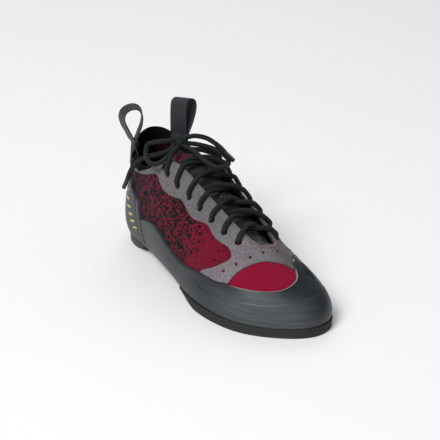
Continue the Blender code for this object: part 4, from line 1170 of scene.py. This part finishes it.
class SHOE_OT_lacing(ShoePiece):
    """Run the lace through its holes, from side to side up the throat"""
    bl_idname = "shoe.lacing"
    bl_label = "Lacing"

    def execute(self, context):
        s, last = sizes(), the_last()
        for level in range(CROSSINGS):
            name = f"lace_cross_{level + 1}"
            for side, over in (("outer", level % 2 == 0), ("inner", level % 2 == 1)):
                route = self.strand(s, last, level, side == "outer", over)
                tube(f"{name}_from_{side}", route, s.lace / 2, "lace", (name,))
        for side in ("outer", "inner"):
            route = self.tie(s, last, side == "outer")
            tube(f"lace_tie_{side}", route, s.lace / 2, "lace", ("lace_tie",))
        return {"FINISHED"}

    @staticmethod
    def rise_from_hole(s, last, level, side):
        """From inside the shoe up through a hole, and on over the throat's edge."""
        hole, height = EYELETS[level]
        on = s.sewn + s.eyestay + s.lace / 2
        under = -(s.wall + s.lace * 0.55)
        return [last.point(side(hole + 0.04), height - 0.03, under),
                last.point(side(hole), height, -s.wall),
                last.point(side(hole - 0.005), height + 0.008, s.eyestay + 0.0006),
                last.point(side(hole - 0.02), height + 0.035, on),
                last.point(side(hole - 0.035), (height + 1.0) / 2 + 0.01, on + 0.0003)]

    def strand(self, s, last, level, from_outer, over):
        """From a hole over its edge, across the throat, under the far edge and up to the next hole."""
        hole = EYELETS[level][0]
        follower, follower_height = EYELETS[level + 1]
        near, far = (same_side, other_side) if from_outer else (other_side, same_side)
        under = -(s.wall + s.lace * 0.62)
        on = s.sewn + s.eyestay + s.lace / 2
        landing = hole - LANDING
        share = np.linspace(0.0, 1.0, 9)
        across = last.bridge(near(hole - 0.05), far(landing), on + 0.0004, under, share)
        hump = np.sin(np.pi * share) ** 2 * s.lace * (0.50 if over else -0.42)
        across[:, 2] += hump + np.sin(np.pi * share) * 0.0012
        halfway = (landing + follower) / 2, (follower_height + EDGE_LEVEL) / 2
        route = self.rise_from_hole(s, last, level, near) + list(across)
        route += [last.point(far(landing - 0.03), EDGE_LEVEL, under),
                  last.point(far(halfway[0]), halfway[1], under - 0.0006),
                  last.point(far(follower + 0.06), follower_height - 0.02, under)]
        return resample(catmull(route, 12), LACE_STEP)

    def tie(self, s, last, outer):
        """From a top hole over its edge to the underside of the knot."""
        hole = EYELETS[CROSSINGS][0]
        near = same_side if outer else other_side
        on = s.sewn + s.eyestay + s.lace / 2
        edge = last.point(near(hole - 0.05), 1.0, on + 0.0004)
        knot = np.array(KNOT_AT) + np.array((0.0, -0.002 if outer else 0.002, -0.0052))
        lean = last.climb(near(hole), 1.0)
        route = self.rise_from_hole(s, last, CROSSINGS, near)
        route += [edge, edge + (knot - edge) * 0.35 + lean * 0.0030,
                  edge + (knot - edge) * 0.72 + lean * 0.0012, knot]
        return resample(catmull(route, 12), LACE_STEP)


def from_heel(station):
    """Stations from the heel's back to a place, whichever side it is on."""
    return np.minimum(np.mod(station, TURN), other_side(np.mod(station, TURN)))


def scatter_red(station, height):
    """How red the knit is at each place of its outside: below 0 never, above 1 always."""
    side = from_heel(station)
    panel = 0.36 + 0.66 * smooth(5.9, 7.5, side + (0.55 - height) * 1.4) + 0.10 * smooth(4.6, 3.6, side)
    window = smooth(8.35, 8.55, side)
    black = smooth(0.885, 0.915, height) * (1.0 - smooth(3.6, 4.4, side))
    red = np.where(black > 0.5, -1.0, panel * (1.0 - window) + 1.6 * window)
    return np.where(np.asarray(height) > 0.985, -1.0, red)


def yarn_run(last, station, height):
    """Run and cross run of the knit in mm: its wales go from heel to toe, sloping a little down."""
    places = last.place(station, height) * 1000
    _, level = wall_coordinates(last, station, height)
    slope = math.radians(22.0)
    on_top = smooth(8.3, 8.6, from_heel(station))
    x, y, z = places[..., 0], places[..., 1], places[..., 2]
    side_along = x * math.cos(slope) - level * math.sin(slope)
    side_across = level * math.cos(slope) + x * math.sin(slope)
    top_along, top_across = x * 1.08, (y * 0.90 + z * 0.55 + x * 0.10) * 1.15
    return side_along * (1 - on_top) + top_along * on_top, side_across * (1 - on_top) + top_across * on_top


class SHOE_OT_upper(ShoePiece):
    """Make the knit upper with its lining, one wall open at collar, throat and sole"""
    bl_idname = "shoe.upper"
    bl_label = "Upper"

    def execute(self, context):
        s, last = sizes(), the_last()
        station, height = wall_grid(0.0, TURN, 0.052, np.linspace(0.0, 1.0, 72))
        cut = Cut(last, station, height).holes(s.eyelet / 2)
        flat, faces = cut_grid(station, height, cut.depth, closed=True)
        at, level, depth = flat.T
        heel = np.mod(at + TURN / 2, TURN) - TURN / 2
        patch = smooth(1.1, 0.5, np.abs(heel + 1.25)) * smooth(0.77, 0.82, level) * smooth(0.93, 0.89, level)
        along, across = yarn_run(last, at, level)
        weave = weave_tag(along, across, scatter_red(at, level)), weave_tag(along, across, patch * 0.8)
        rim = 1.2                           # mm over which the wall thins to its top line
        top = (1.0 - level) * WALL_MM
        thick = s.wall * (0.72 + 0.28 * np.clip(top / rim, 0.0, 1.0))
        outside = last.point(at, level, -s.wall * 0.06 * (top < rim))
        slab("knit_upper", faces, outside, last.point(at, level, -thick), ("knit", "lining"),
             ("upper",), {"weave": weave, "edge": edge_tag(depth)})
        return {"FINISHED"}


class SHOE_OT_overlay(ShoePiece):
    """Lay the grey overlay round throat, vamp and collar, cut clear of the knit"""
    bl_idname = "shoe.overlay"
    bl_label = "Overlay"

    def execute(self, context):
        s, last = sizes(), the_last()
        station, height = wall_grid(2.0, TURN - 2.0, 0.040, np.linspace(0.24, 1.0, 72))
        cut = Cut(last, station, height).above(RAND_LINE, 0.35)
        for mirrored in (False, True):
            cut.clear_of(PANEL_OUTLINE, mirrored)
        cut.clear_of(WINDOW_OUTLINE).holes(s.eyelet / 2)
        cut.below(OVERLAY_TOP + tuple((other_side(at), level) for at, level in reversed(OVERLAY_TOP)))
        flat, faces = cut_grid(station, height, cut.depth)
        at, level, depth = flat.T
        throat = (at > THROAT_START) & (at < other_side(THROAT_START))
        depth = np.minimum(depth, np.where(throat, (1.0 - level) * WALL_MM, depth))
        run, climb = wall_coordinates(last, at, level)
        lift = s.sewn + s.eyestay * rounded(depth, 0.8)
        slab("overlay", faces, last.point(at, level, lift), last.point(at, level, s.sewn * 0.5),
             ("microfibre",), ("eyestay",),
             {"weave": weave_tag(run, climb, 0.0), "edge": edge_tag(depth)})
        return {"FINISHED"}


class SHOE_OT_collar(ShoePiece):
    """Bind the collar's edge with black knit"""
    bl_idname = "shoe.collar"
    bl_label = "Collar binding"

    def execute(self, context):
        s, last = sizes(), the_last()
        columns = columns_between(-3.95, 3.95)
        away = np.abs(columns)
        low = 1.0 - (0.012 + 0.04 * smooth(4.0, 3.1, away) + 0.03 * smooth(3.4, 2.0, away))
        share = np.linspace(0.0, 1.0, 14)
        heights = low[:, None] + (1.0 - low[:, None]) * share
        round_back = (0.25 + 0.75 * np.sin(np.pi * share) ** 0.5)[None, :]
        swell = s.gap + s.binding * round_back * (0.4 + 0.6 * smooth(4.0, 3.6, away)[:, None])
        swell[:, -1] = s.binding * 0.2
        band(last, "collar_edge", columns, heights, swell, np.full(heights.shape, NEAR_WALL / 2),
             ("lining",), ("collar_binding",))
        return {"FINISHED"}


class SHOE_OT_tongue(ShoePiece):
    """Make the ribbed tongue"""
    bl_idname = "shoe.tongue"
    bl_label = "Tongue"

    def execute(self, context):
        s, last = sizes(), the_last()
        lift = -(s.wall + s.lace + 0.0007)
        top, under = self.surface(last, lift), self.surface(last, lift - s.tongue)
        n, m, _ = top.shape
        run = gone_along(top[:, m // 2])[:, None] * 1000 * np.ones((1, m))
        width = np.linspace(-19.0, 19.0, m)[None, :] * np.ones((n, 1))
        top[..., 2] += np.sin(run * 2 * math.pi / TONGUE_RIB) * 0.00022
        patch = (smooth(18.0, 14.0, run) * smooth(2.0, 5.0, run)
                 * smooth(-17.0, -14.0, width) * smooth(6.0, 2.0, width)) * 0.75
        slab("padded_tongue", grid_faces(n, m, THROAT_RING), top.reshape(-1, 3), under.reshape(-1, 3),
             ("tongue",), ("tongue",), {"weave": weave_tag(run, width, patch)})
        return {"FINISHED"}

    @staticmethod
    def surface(last, lift):
        """Places of the tongue: from under one overlay to under the other, and up out of the throat."""
        def section(station):
            tuck = np.linspace(0.86, 0.99, 5)
            far = other_side(station)
            level = lift + 0.0044 * smooth(8.85, 9.5, station)
            over = last.bridge(station, far, level, level, np.linspace(0.0, 1.0, 25))
            return np.vstack([last.point(station, tuck, level), over, last.point(far, tuck[::-1], level)])

        foot = section(TONGUE_FOOT)
        past = resample(catmull(TONGUE_PAST + ((0.0, 0.0, 1.0),), 8), 0.0012)[:-1]
        rows = [foot * (1.0, width, 1.0) + (back, 0.0, up) for back, up, width in past]
        rows += [section(station) for station in np.linspace(TONGUE_FOOT, TONGUE_END, 130)]
        return np.array(rows)


class SHOE_OT_rubber(ShoePiece):
    """Wrap the foot in rubber: rand, toe sheet and heel cup"""
    bl_idname = "shoe.rubber"
    bl_label = "Rand and rubber"

    def execute(self, context):
        s, last = sizes(), the_last()
        self.rand(s, last)
        self.toe_sheet(s, last)
        self.heel_cup(s, last)
        return {"FINISHED"}

    @staticmethod
    def rand(s, last):
        columns = columns_between(SEAM + 0.01, TURN - SEAM - 0.01, 0.045)
        over_toes = (columns > TOE_LINE[0][0]) & (columns < TOE_LINE[-1][0])
        top = np.where(over_toes, height_on(TOE_LINE, columns), height_on(RAND_LINE, columns))
        heights, depth = rows_up_to(last, columns, top, 20)
        lift = s.gap + s.rand * rounded(depth, 1.4)
        cup(s, last, "rubber_rand", columns, heights, lift, 16, "rand")

    @staticmethod
    def toe_sheet(s, last):
        """The sheet over the toes, with three slits at its tip darkened by painted shadow, a pale hem along
        the window and a painted highlight on its edge near the tip.
        """
        columns = columns_between(TOE_LINE[0][0] + 0.02, TOE_LINE[-1][0] - 0.02, 0.045)
        low, top = height_on(TOE_LINE, columns), height_on(RAND_LINE, columns)
        top = np.maximum(top, low + 0.004)
        share = np.r_[np.linspace(0.0, 0.96, 60), 0.97, 0.98, 0.99, 1.0]
        heights = low[:, None] - 0.03 + (top - low + 0.03)[:, None] * share
        wall = 85.0                     # mm from feather line to top line over the toes, near enough
        depth = (top[:, None] - heights) * wall
        slit = np.zeros(heights.shape)
        for centre, level in TOE_SLITS:
            away = columns[:, None] - centre
            across = (heights - level + 0.36 * away) / 0.021
            slit += np.exp(-across ** 2) * smooth(0.17, 0.11, np.abs(away))
        lift = s.sewn + s.toe_rubber * rounded(depth, 1.1) - slit * 0.0012
        window = smooth(8.4, 8.9, columns) * smooth(11.4, 11.1, columns) * 0.8
        # Painted highlight on the sheet's edge near the tip, mixed into the pale hem.
        corner = np.exp(-((columns - 11.72) / 0.14) ** 2)
        hem = np.exp(-((depth - 0.25) / 0.40) ** 2) * (window + corner)[:, None]
        # third carries the pale hem with its painted highlight near the tip, and the slits' painted shadow.
        band(last, "toe_sheet", columns, heights, lift, np.full(heights.shape, NEAR_WALL), ("rand",),
             ("toe_rubber",), third=hem - slit * 1.6)

    @staticmethod
    def heel_cup(s, last):
        """The cup round the heel, with a raised band along its seam with the rand."""
        columns = columns_between(-SEAM + 0.02, SEAM - 0.02, 0.035)
        heights, depth = rows_up_to(last, columns, height_on(HEEL_LINE, columns), 26)
        station_mm = 24.0               # mm from one station to the next at the seam, near enough
        front = (SEAM - np.abs(columns))[:, None] * station_mm * np.ones((1, heights.shape[1]))
        ridge = np.exp(-((front - 7.2) / 0.7) ** 2) * -0.0006 + smooth(6.6, 5.2, front) * 0.0004
        seam = rounded(np.minimum(depth, front * 0.5 + 0.02), 1.2)
        lift = s.gap + s.heel_rubber * seam + ridge * smooth(0.0, 0.1, heights)
        cup(s, last, "heel_cup", columns, heights, lift, 12, "heel_rubber",
            shade=smooth(6.4, 4.6, front) * 0.20)


class SHOE_OT_soles(ShoePiece):
    """Put the wear rubber under forefoot and heel"""
    bl_idname = "shoe.soles"
    bl_label = "Soles"

    def execute(self, context):
        s, last = sizes(), the_last()
        self.plate(s, last, "forefoot_sole", columns_between(6.0, TURN - 6.0, 0.04), s.rand, "outsole",
                   1.2, s.lip, "sole")
        self.plate(s, last, "heel_wear_sole", columns_between(-2.67, 2.67, 0.04), s.heel_rubber, "heel_sole",
                   0.8, s.lip * 0.05, "rand")
        return {"FINISHED"}

    @staticmethod
    def plate(s, last, name, columns, rubber, node, reach, lip, look):
        """A plate with a low standing edge, a slightly drawn-in side and a rounded foot.

        It thins over reach stations towards its open end.
        """
        n, across = len(columns), 14
        inner = s.gap * 2 + rubber
        open_end = columns[np.where(np.arange(n) <= n // 2, 0, -1)]
        full = smooth(0.0, reach, np.abs(columns - open_end))
        outer = inner + lip * (0.1 + 0.9 * full)
        drop = s.stack - s.thin * 1.35 * (1.0 - full)

        def wall(height, lift):
            return last.point(columns, height * (0.2 + 0.8 * full), lift)

        side = [wall(0.025, inner + 0.0001), wall(0.027, (inner + outer) / 2),
                wall(0.025, outer - 0.0002), wall(0.020, outer), wall(0.0, outer)]
        side += [last.feather(columns, out, drop * share)
                 for out, share in ((outer - 0.0001, 0.35), (outer * 0.97, 0.62), (outer * 0.94, 0.84),
                                    (outer * 0.90, 0.95), (outer * 0.84, 1.0))]
        inside = [wall(height, inner) for height in (0.022, 0.018, 0.012, 0.006, 0.0)]
        inside += [last.feather(columns, inner * share, down)
                   for share, down in ((0.9, 0.0004), (0.8, 0.001), (0.6, 0.0016),
                                       (0.3, s.rand + s.gap), (0.0, s.rand + s.gap * 2))]
        shells = [with_floor(np.stack(rows, axis=1), across) for rows in (side, inside)]
        tags = {"weave": np.zeros(shells[0].shape), "edge": np.full(shells[0].shape, DEEP)}
        slab(name, faces_with_floor(n, len(side), across), shells[0], shells[1], (look,),
             (node,), tags)


class SHOE_OT_pull_loops(ShoePiece):
    """Sew a webbing loop astride the collar on each side of the heel"""
    bl_idname = "shoe.pull_loops"
    bl_label = "Pull loops"

    def execute(self, context):
        for side, station in LOOP_STATIONS.items():
            self.loop(sizes(), the_last(), side, station)
        return {"FINISHED"}

    @staticmethod
    def loop(s, last, side, station):
        """One loop: its outer grip, its route over the rim and its inner grip, as a tape of one width."""
        count = 17
        across = np.linspace(-s.strap_width / 2, s.strap_width / 2, count)
        rim = last.place(station, 1.0)
        along = (last.place(station + 0.1, 1.0) - last.place(station - 0.1, 1.0)) / 0.2
        level = np.array((along[0], along[1], 0.0)) / np.linalg.norm(along[:2])
        out = last.handles(np.array(float(station)))[-1]
        wall = np.linalg.norm(rim - last.place(station, BINDING_LINE)) / (1.0 - BINDING_LINE)
        strip = station + across / np.linalg.norm(along)

        def grip(shares, lift):
            return [last.point(strip, np.full(count, 1.0 - s.strap_grip / wall * share), lift)
                    for share in shares]

        rows = grip((1.0, 0.5, 0.0), s.gap + s.binding + s.gap + s.strap)
        route, turns = np.array(LOOP_ROUTE[side]), np.array(LOOP_TURN[side])
        for share, (outward, rise) in zip(np.linspace(0.0, 1.0, len(route)), route):
            centre = rim + out * outward + np.array((0.0, 0.0, rise))
            turn = math.radians(np.interp(share, turns[:, 0], turns[:, 1]))
            width = np.array((level[0] * math.cos(turn) - level[1] * math.sin(turn),
                              level[0] * math.sin(turn) + level[1] * math.cos(turn),
                              LOOP_TILT[side] * math.sin(math.pi * share)))
            rows.append(centre + np.outer(across, width))
        rows += grip((0.0, 0.5, 1.0), -(s.wall + s.gap + s.strap))
        flat = np.array(rows).reshape(len(rows), -1)
        grid = resample(catmull(flat, 10), 0.006).reshape(-1, count, 3)
        run = gone_along(grid[:, count // 2]) * 1000
        normal = np.cross(np.gradient(grid, axis=0), np.gradient(grid, axis=1))
        normal /= np.linalg.norm(normal, axis=2, keepdims=True)
        selvedge = (s.strap_width / 2 - np.abs(across)) * 1000
        thick = s.strap * rounded(selvedge, 0.9)
        tape = np.ones((len(grid), count))
        weave = weave_tag(run[:, None] * tape, across * 1000 * tape, selvedge * tape)
        slab(f"webbing_loop_{side}", grid_faces(len(grid), count, THROAT_RING), grid.reshape(-1, 3),
             (grid + normal * thick[None, :, None]).reshape(-1, 3), ("webbing",),
             (f"pull_loop_{side}",), {"weave": weave})


class SHOE_OT_trim(ShoePiece):
    """Add the small things: keeper, throat stitching, punched dots and heel bars"""
    bl_idname = "shoe.trim"
    bl_label = "Trim"

    def execute(self, context):
        s, last = sizes(), the_last()
        self.keeper(s, last)
        self.throat_stitching(s, last)
        self.dots(s, last)
        self.heel_bars(s, last)
        return {"FINISHED"}

    @staticmethod
    def keeper(s, last):
        """A short webbing bridge on the middle of the tongue."""
        lift, half_width = -(s.wall + s.lace), 4.5
        first, end = KEEPER_SHARES
        share = np.linspace(first, end, 25)
        rise = smooth(first, first + 0.07, share) * smooth(end, end - 0.07, share) * 0.0016
        rows = []
        for station in np.linspace(*KEEPER_STATIONS, 9):
            row = last.bridge(station, other_side(station), lift, lift, share)
            row[:, 2] += rise
            rows.append(row)
        n, m, top = len(rows), len(share), np.vstack(rows)
        run = np.arange(m)[None, :] * 0.45 * np.ones((n, 1))
        across = np.linspace(-half_width, half_width, n)[:, None] * np.ones((1, m))
        slab("tongue_keeper", grid_faces(n, m), top - (0, 0, s.eyestay), top, ("webbing",),
             ("lace_keeper",), {"weave": weave_tag(run, across, half_width - np.abs(across))})

    @staticmethod
    def throat_stitching(s, last):
        """Zigzag stitches round the closed end of the throat."""
        lift = s.sewn + s.eyestay + 0.0001 + np.array((0.0, 0.00025, 0.00035, 0.00025, 0.0))
        rings, sides, thread = len(lift), 6, 0.00026
        places, faces = [], []
        for i, station in enumerate(np.arange(8.80, TURN - 8.80, 0.13)):
            start, end = (0.992, 0.965)[::1 if i % 2 else -1]
            along = np.linspace(station, station + 0.115, rings)
            stitch = last.point(along, np.linspace(start, end, rings), lift)
            run = stitch[-1] - stitch[0]
            run /= np.linalg.norm(run)
            out = last.normal(station, 0.98)
            base = len(places)
            for place in stitch:
                places += ring_of(place, np.cross(run, out), out, thread, sides)
            for ring in range(rings - 1):
                faces += ring_faces(base + ring * sides, base + (ring + 1) * sides, sides)
            faces.append(tuple(base + k for k in reversed(range(sides))))
            faces.append(tuple(base + (rings - 1) * sides + k for k in range(sides)))
        make_piece("throat_stitching", places, faces, ("thread",))

    @staticmethod
    def dots(s, last):
        """Punched dots across the vamp, with dark cut rims."""
        sides = 16
        places, faces = [], []
        for station, height in DOTS:
            centre = last.point(station, height, s.sewn + s.eyestay)
            out, climb = last.normal(station, height), last.climb(station, height)
            base = len(places)
            for radius, lift in DOT_RINGS:
                places += ring_of(centre + out * lift, np.cross(climb, out), climb, radius, sides)
            for ring in range(len(DOT_RINGS) - 1):
                low = base + ring * sides
                faces += [(b, a, d, c) for a, b, c, d in ring_faces(low, low + sides, sides)]
        make_piece("punched_dots", places, faces, ("hole",))

    @staticmethod
    def heel_bars(s, last):
        """Plain raised bars down the heel's outer side."""
        half_run, half_rise, slope = 0.20, 0.018, 0.06
        lift = s.gap + s.heel_rubber - 0.0002
        places, faces = [], []
        for k in range(BAR_COUNT):
            station, height = (first + step * k for first, step in zip(BAR_FIRST, BAR_STEP))
            at = np.linspace(station - half_run, station + half_run, 9)[:, None] * np.ones((1, 5))
            level = height + np.linspace(-half_rise, half_rise, 5) + (at - station) * slope
            round_off = np.minimum(smooth(half_run, 0.17, np.abs(at - station)),
                                   smooth(2.0, 1.4, np.abs(np.arange(5) - 2.0)))
            faces += grid_faces(*at.shape, start=len(places))
            places += list(last.point(at, level, lift + 0.0005 * round_off).reshape(-1, 3))
        make_piece("heel_bars", places, faces, ("bars",))


class SHOE_OT_insole(ShoePiece):
    """Cover the insole board with lining"""
    bl_idname = "shoe.insole"
    bl_label = "Insole"

    def execute(self, context):
        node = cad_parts["insole"]
        node.data.materials.clear()
        node.data.materials.append(paint("lining"))
        return {"FINISHED"}


class SHOE_OT_stage(ShoePiece):
    """Set the pale floor and the soft studio light"""
    bl_idname = "shoe.stage"
    bl_label = "Stage"

    def execute(self, context):
        mesh = bpy.data.meshes.new("floor")
        corners = [(x * FLOOR_REACH, y * FLOOR_REACH, 0.0) for x, y in ((-1, -1), (1, -1), (1, 1), (-1, 1))]
        mesh.from_pydata(corners, [], [(0, 1, 2, 3)])
        mesh.materials.append(paint("floor"))
        floor = bpy.data.objects.new("floor", mesh)
        context.scene.collection.objects.link(floor)
        world = bpy.data.worlds.new("studio")
        world.use_nodes = True
        sky = world.node_tree.nodes["Background"]
        sky.inputs["Color"].default_value = SKY_COLOUR
        sky.inputs["Strength"].default_value = SKY_STRENGTH
        context.scene.world = world
        context.scene.view_settings.view_transform = "Standard"
        for name, (place, width, power) in LAMPS.items():
            data = bpy.data.lights.new(name, "AREA")
            data.size, data.energy = width, power
            lamp = bpy.data.objects.new(name, data)
            lamp.location = place
            lamp.rotation_euler = (Vector(LAMPS_AIM) - Vector(place)).to_track_quat("-Z", "Y").to_euler()
            context.scene.collection.objects.link(lamp)
        return {"FINISHED"}


class SHOE_PT_panel(bpy.types.Panel):
    """The shoe's sizes, colours and pieces"""
    bl_idname = "SHOE_PT_panel"
    bl_label = "Climbing shoe"
    bl_space_type = "VIEW_3D"
    bl_region_type = "UI"
    bl_category = "Shoe"

    def draw(self, context):
        for group in (context.scene.shoe_sizes, context.scene.shoe_colours):
            column = self.layout.column(align=True)
            for key in group.__annotations__:
                column.prop(group, key)
        for operator in OPERATORS:
            self.layout.operator(operator.bl_idname)


OPERATORS = (SHOE_OT_camera, SHOE_OT_bow, SHOE_OT_lacing, SHOE_OT_upper, SHOE_OT_overlay, SHOE_OT_collar,
             SHOE_OT_tongue, SHOE_OT_rubber, SHOE_OT_soles, SHOE_OT_pull_loops, SHOE_OT_trim, SHOE_OT_insole,
             SHOE_OT_stage)
CLASSES = (ShoeSizes, ShoeColours, *OPERATORS, SHOE_PT_panel)


def register():
    for entry in CLASSES:
        bpy.utils.register_class(entry)
    bpy.types.Scene.shoe_sizes = bpy.props.PointerProperty(type=ShoeSizes)
    bpy.types.Scene.shoe_colours = bpy.props.PointerProperty(type=ShoeColours)


def unregister():
    del bpy.types.Scene.shoe_sizes
    del bpy.types.Scene.shoe_colours
    for entry in reversed(CLASSES):
        bpy.utils.unregister_class(entry)


def main():
    register()
    for operator in OPERATORS:
        group, name = operator.bl_idname.split(".")
        if getattr(getattr(bpy.ops, group), name)() != {"FINISHED"}:
            raise RuntimeError(f"{operator.bl_label} wasn't finished")


if __name__ == "__main__":
    main()
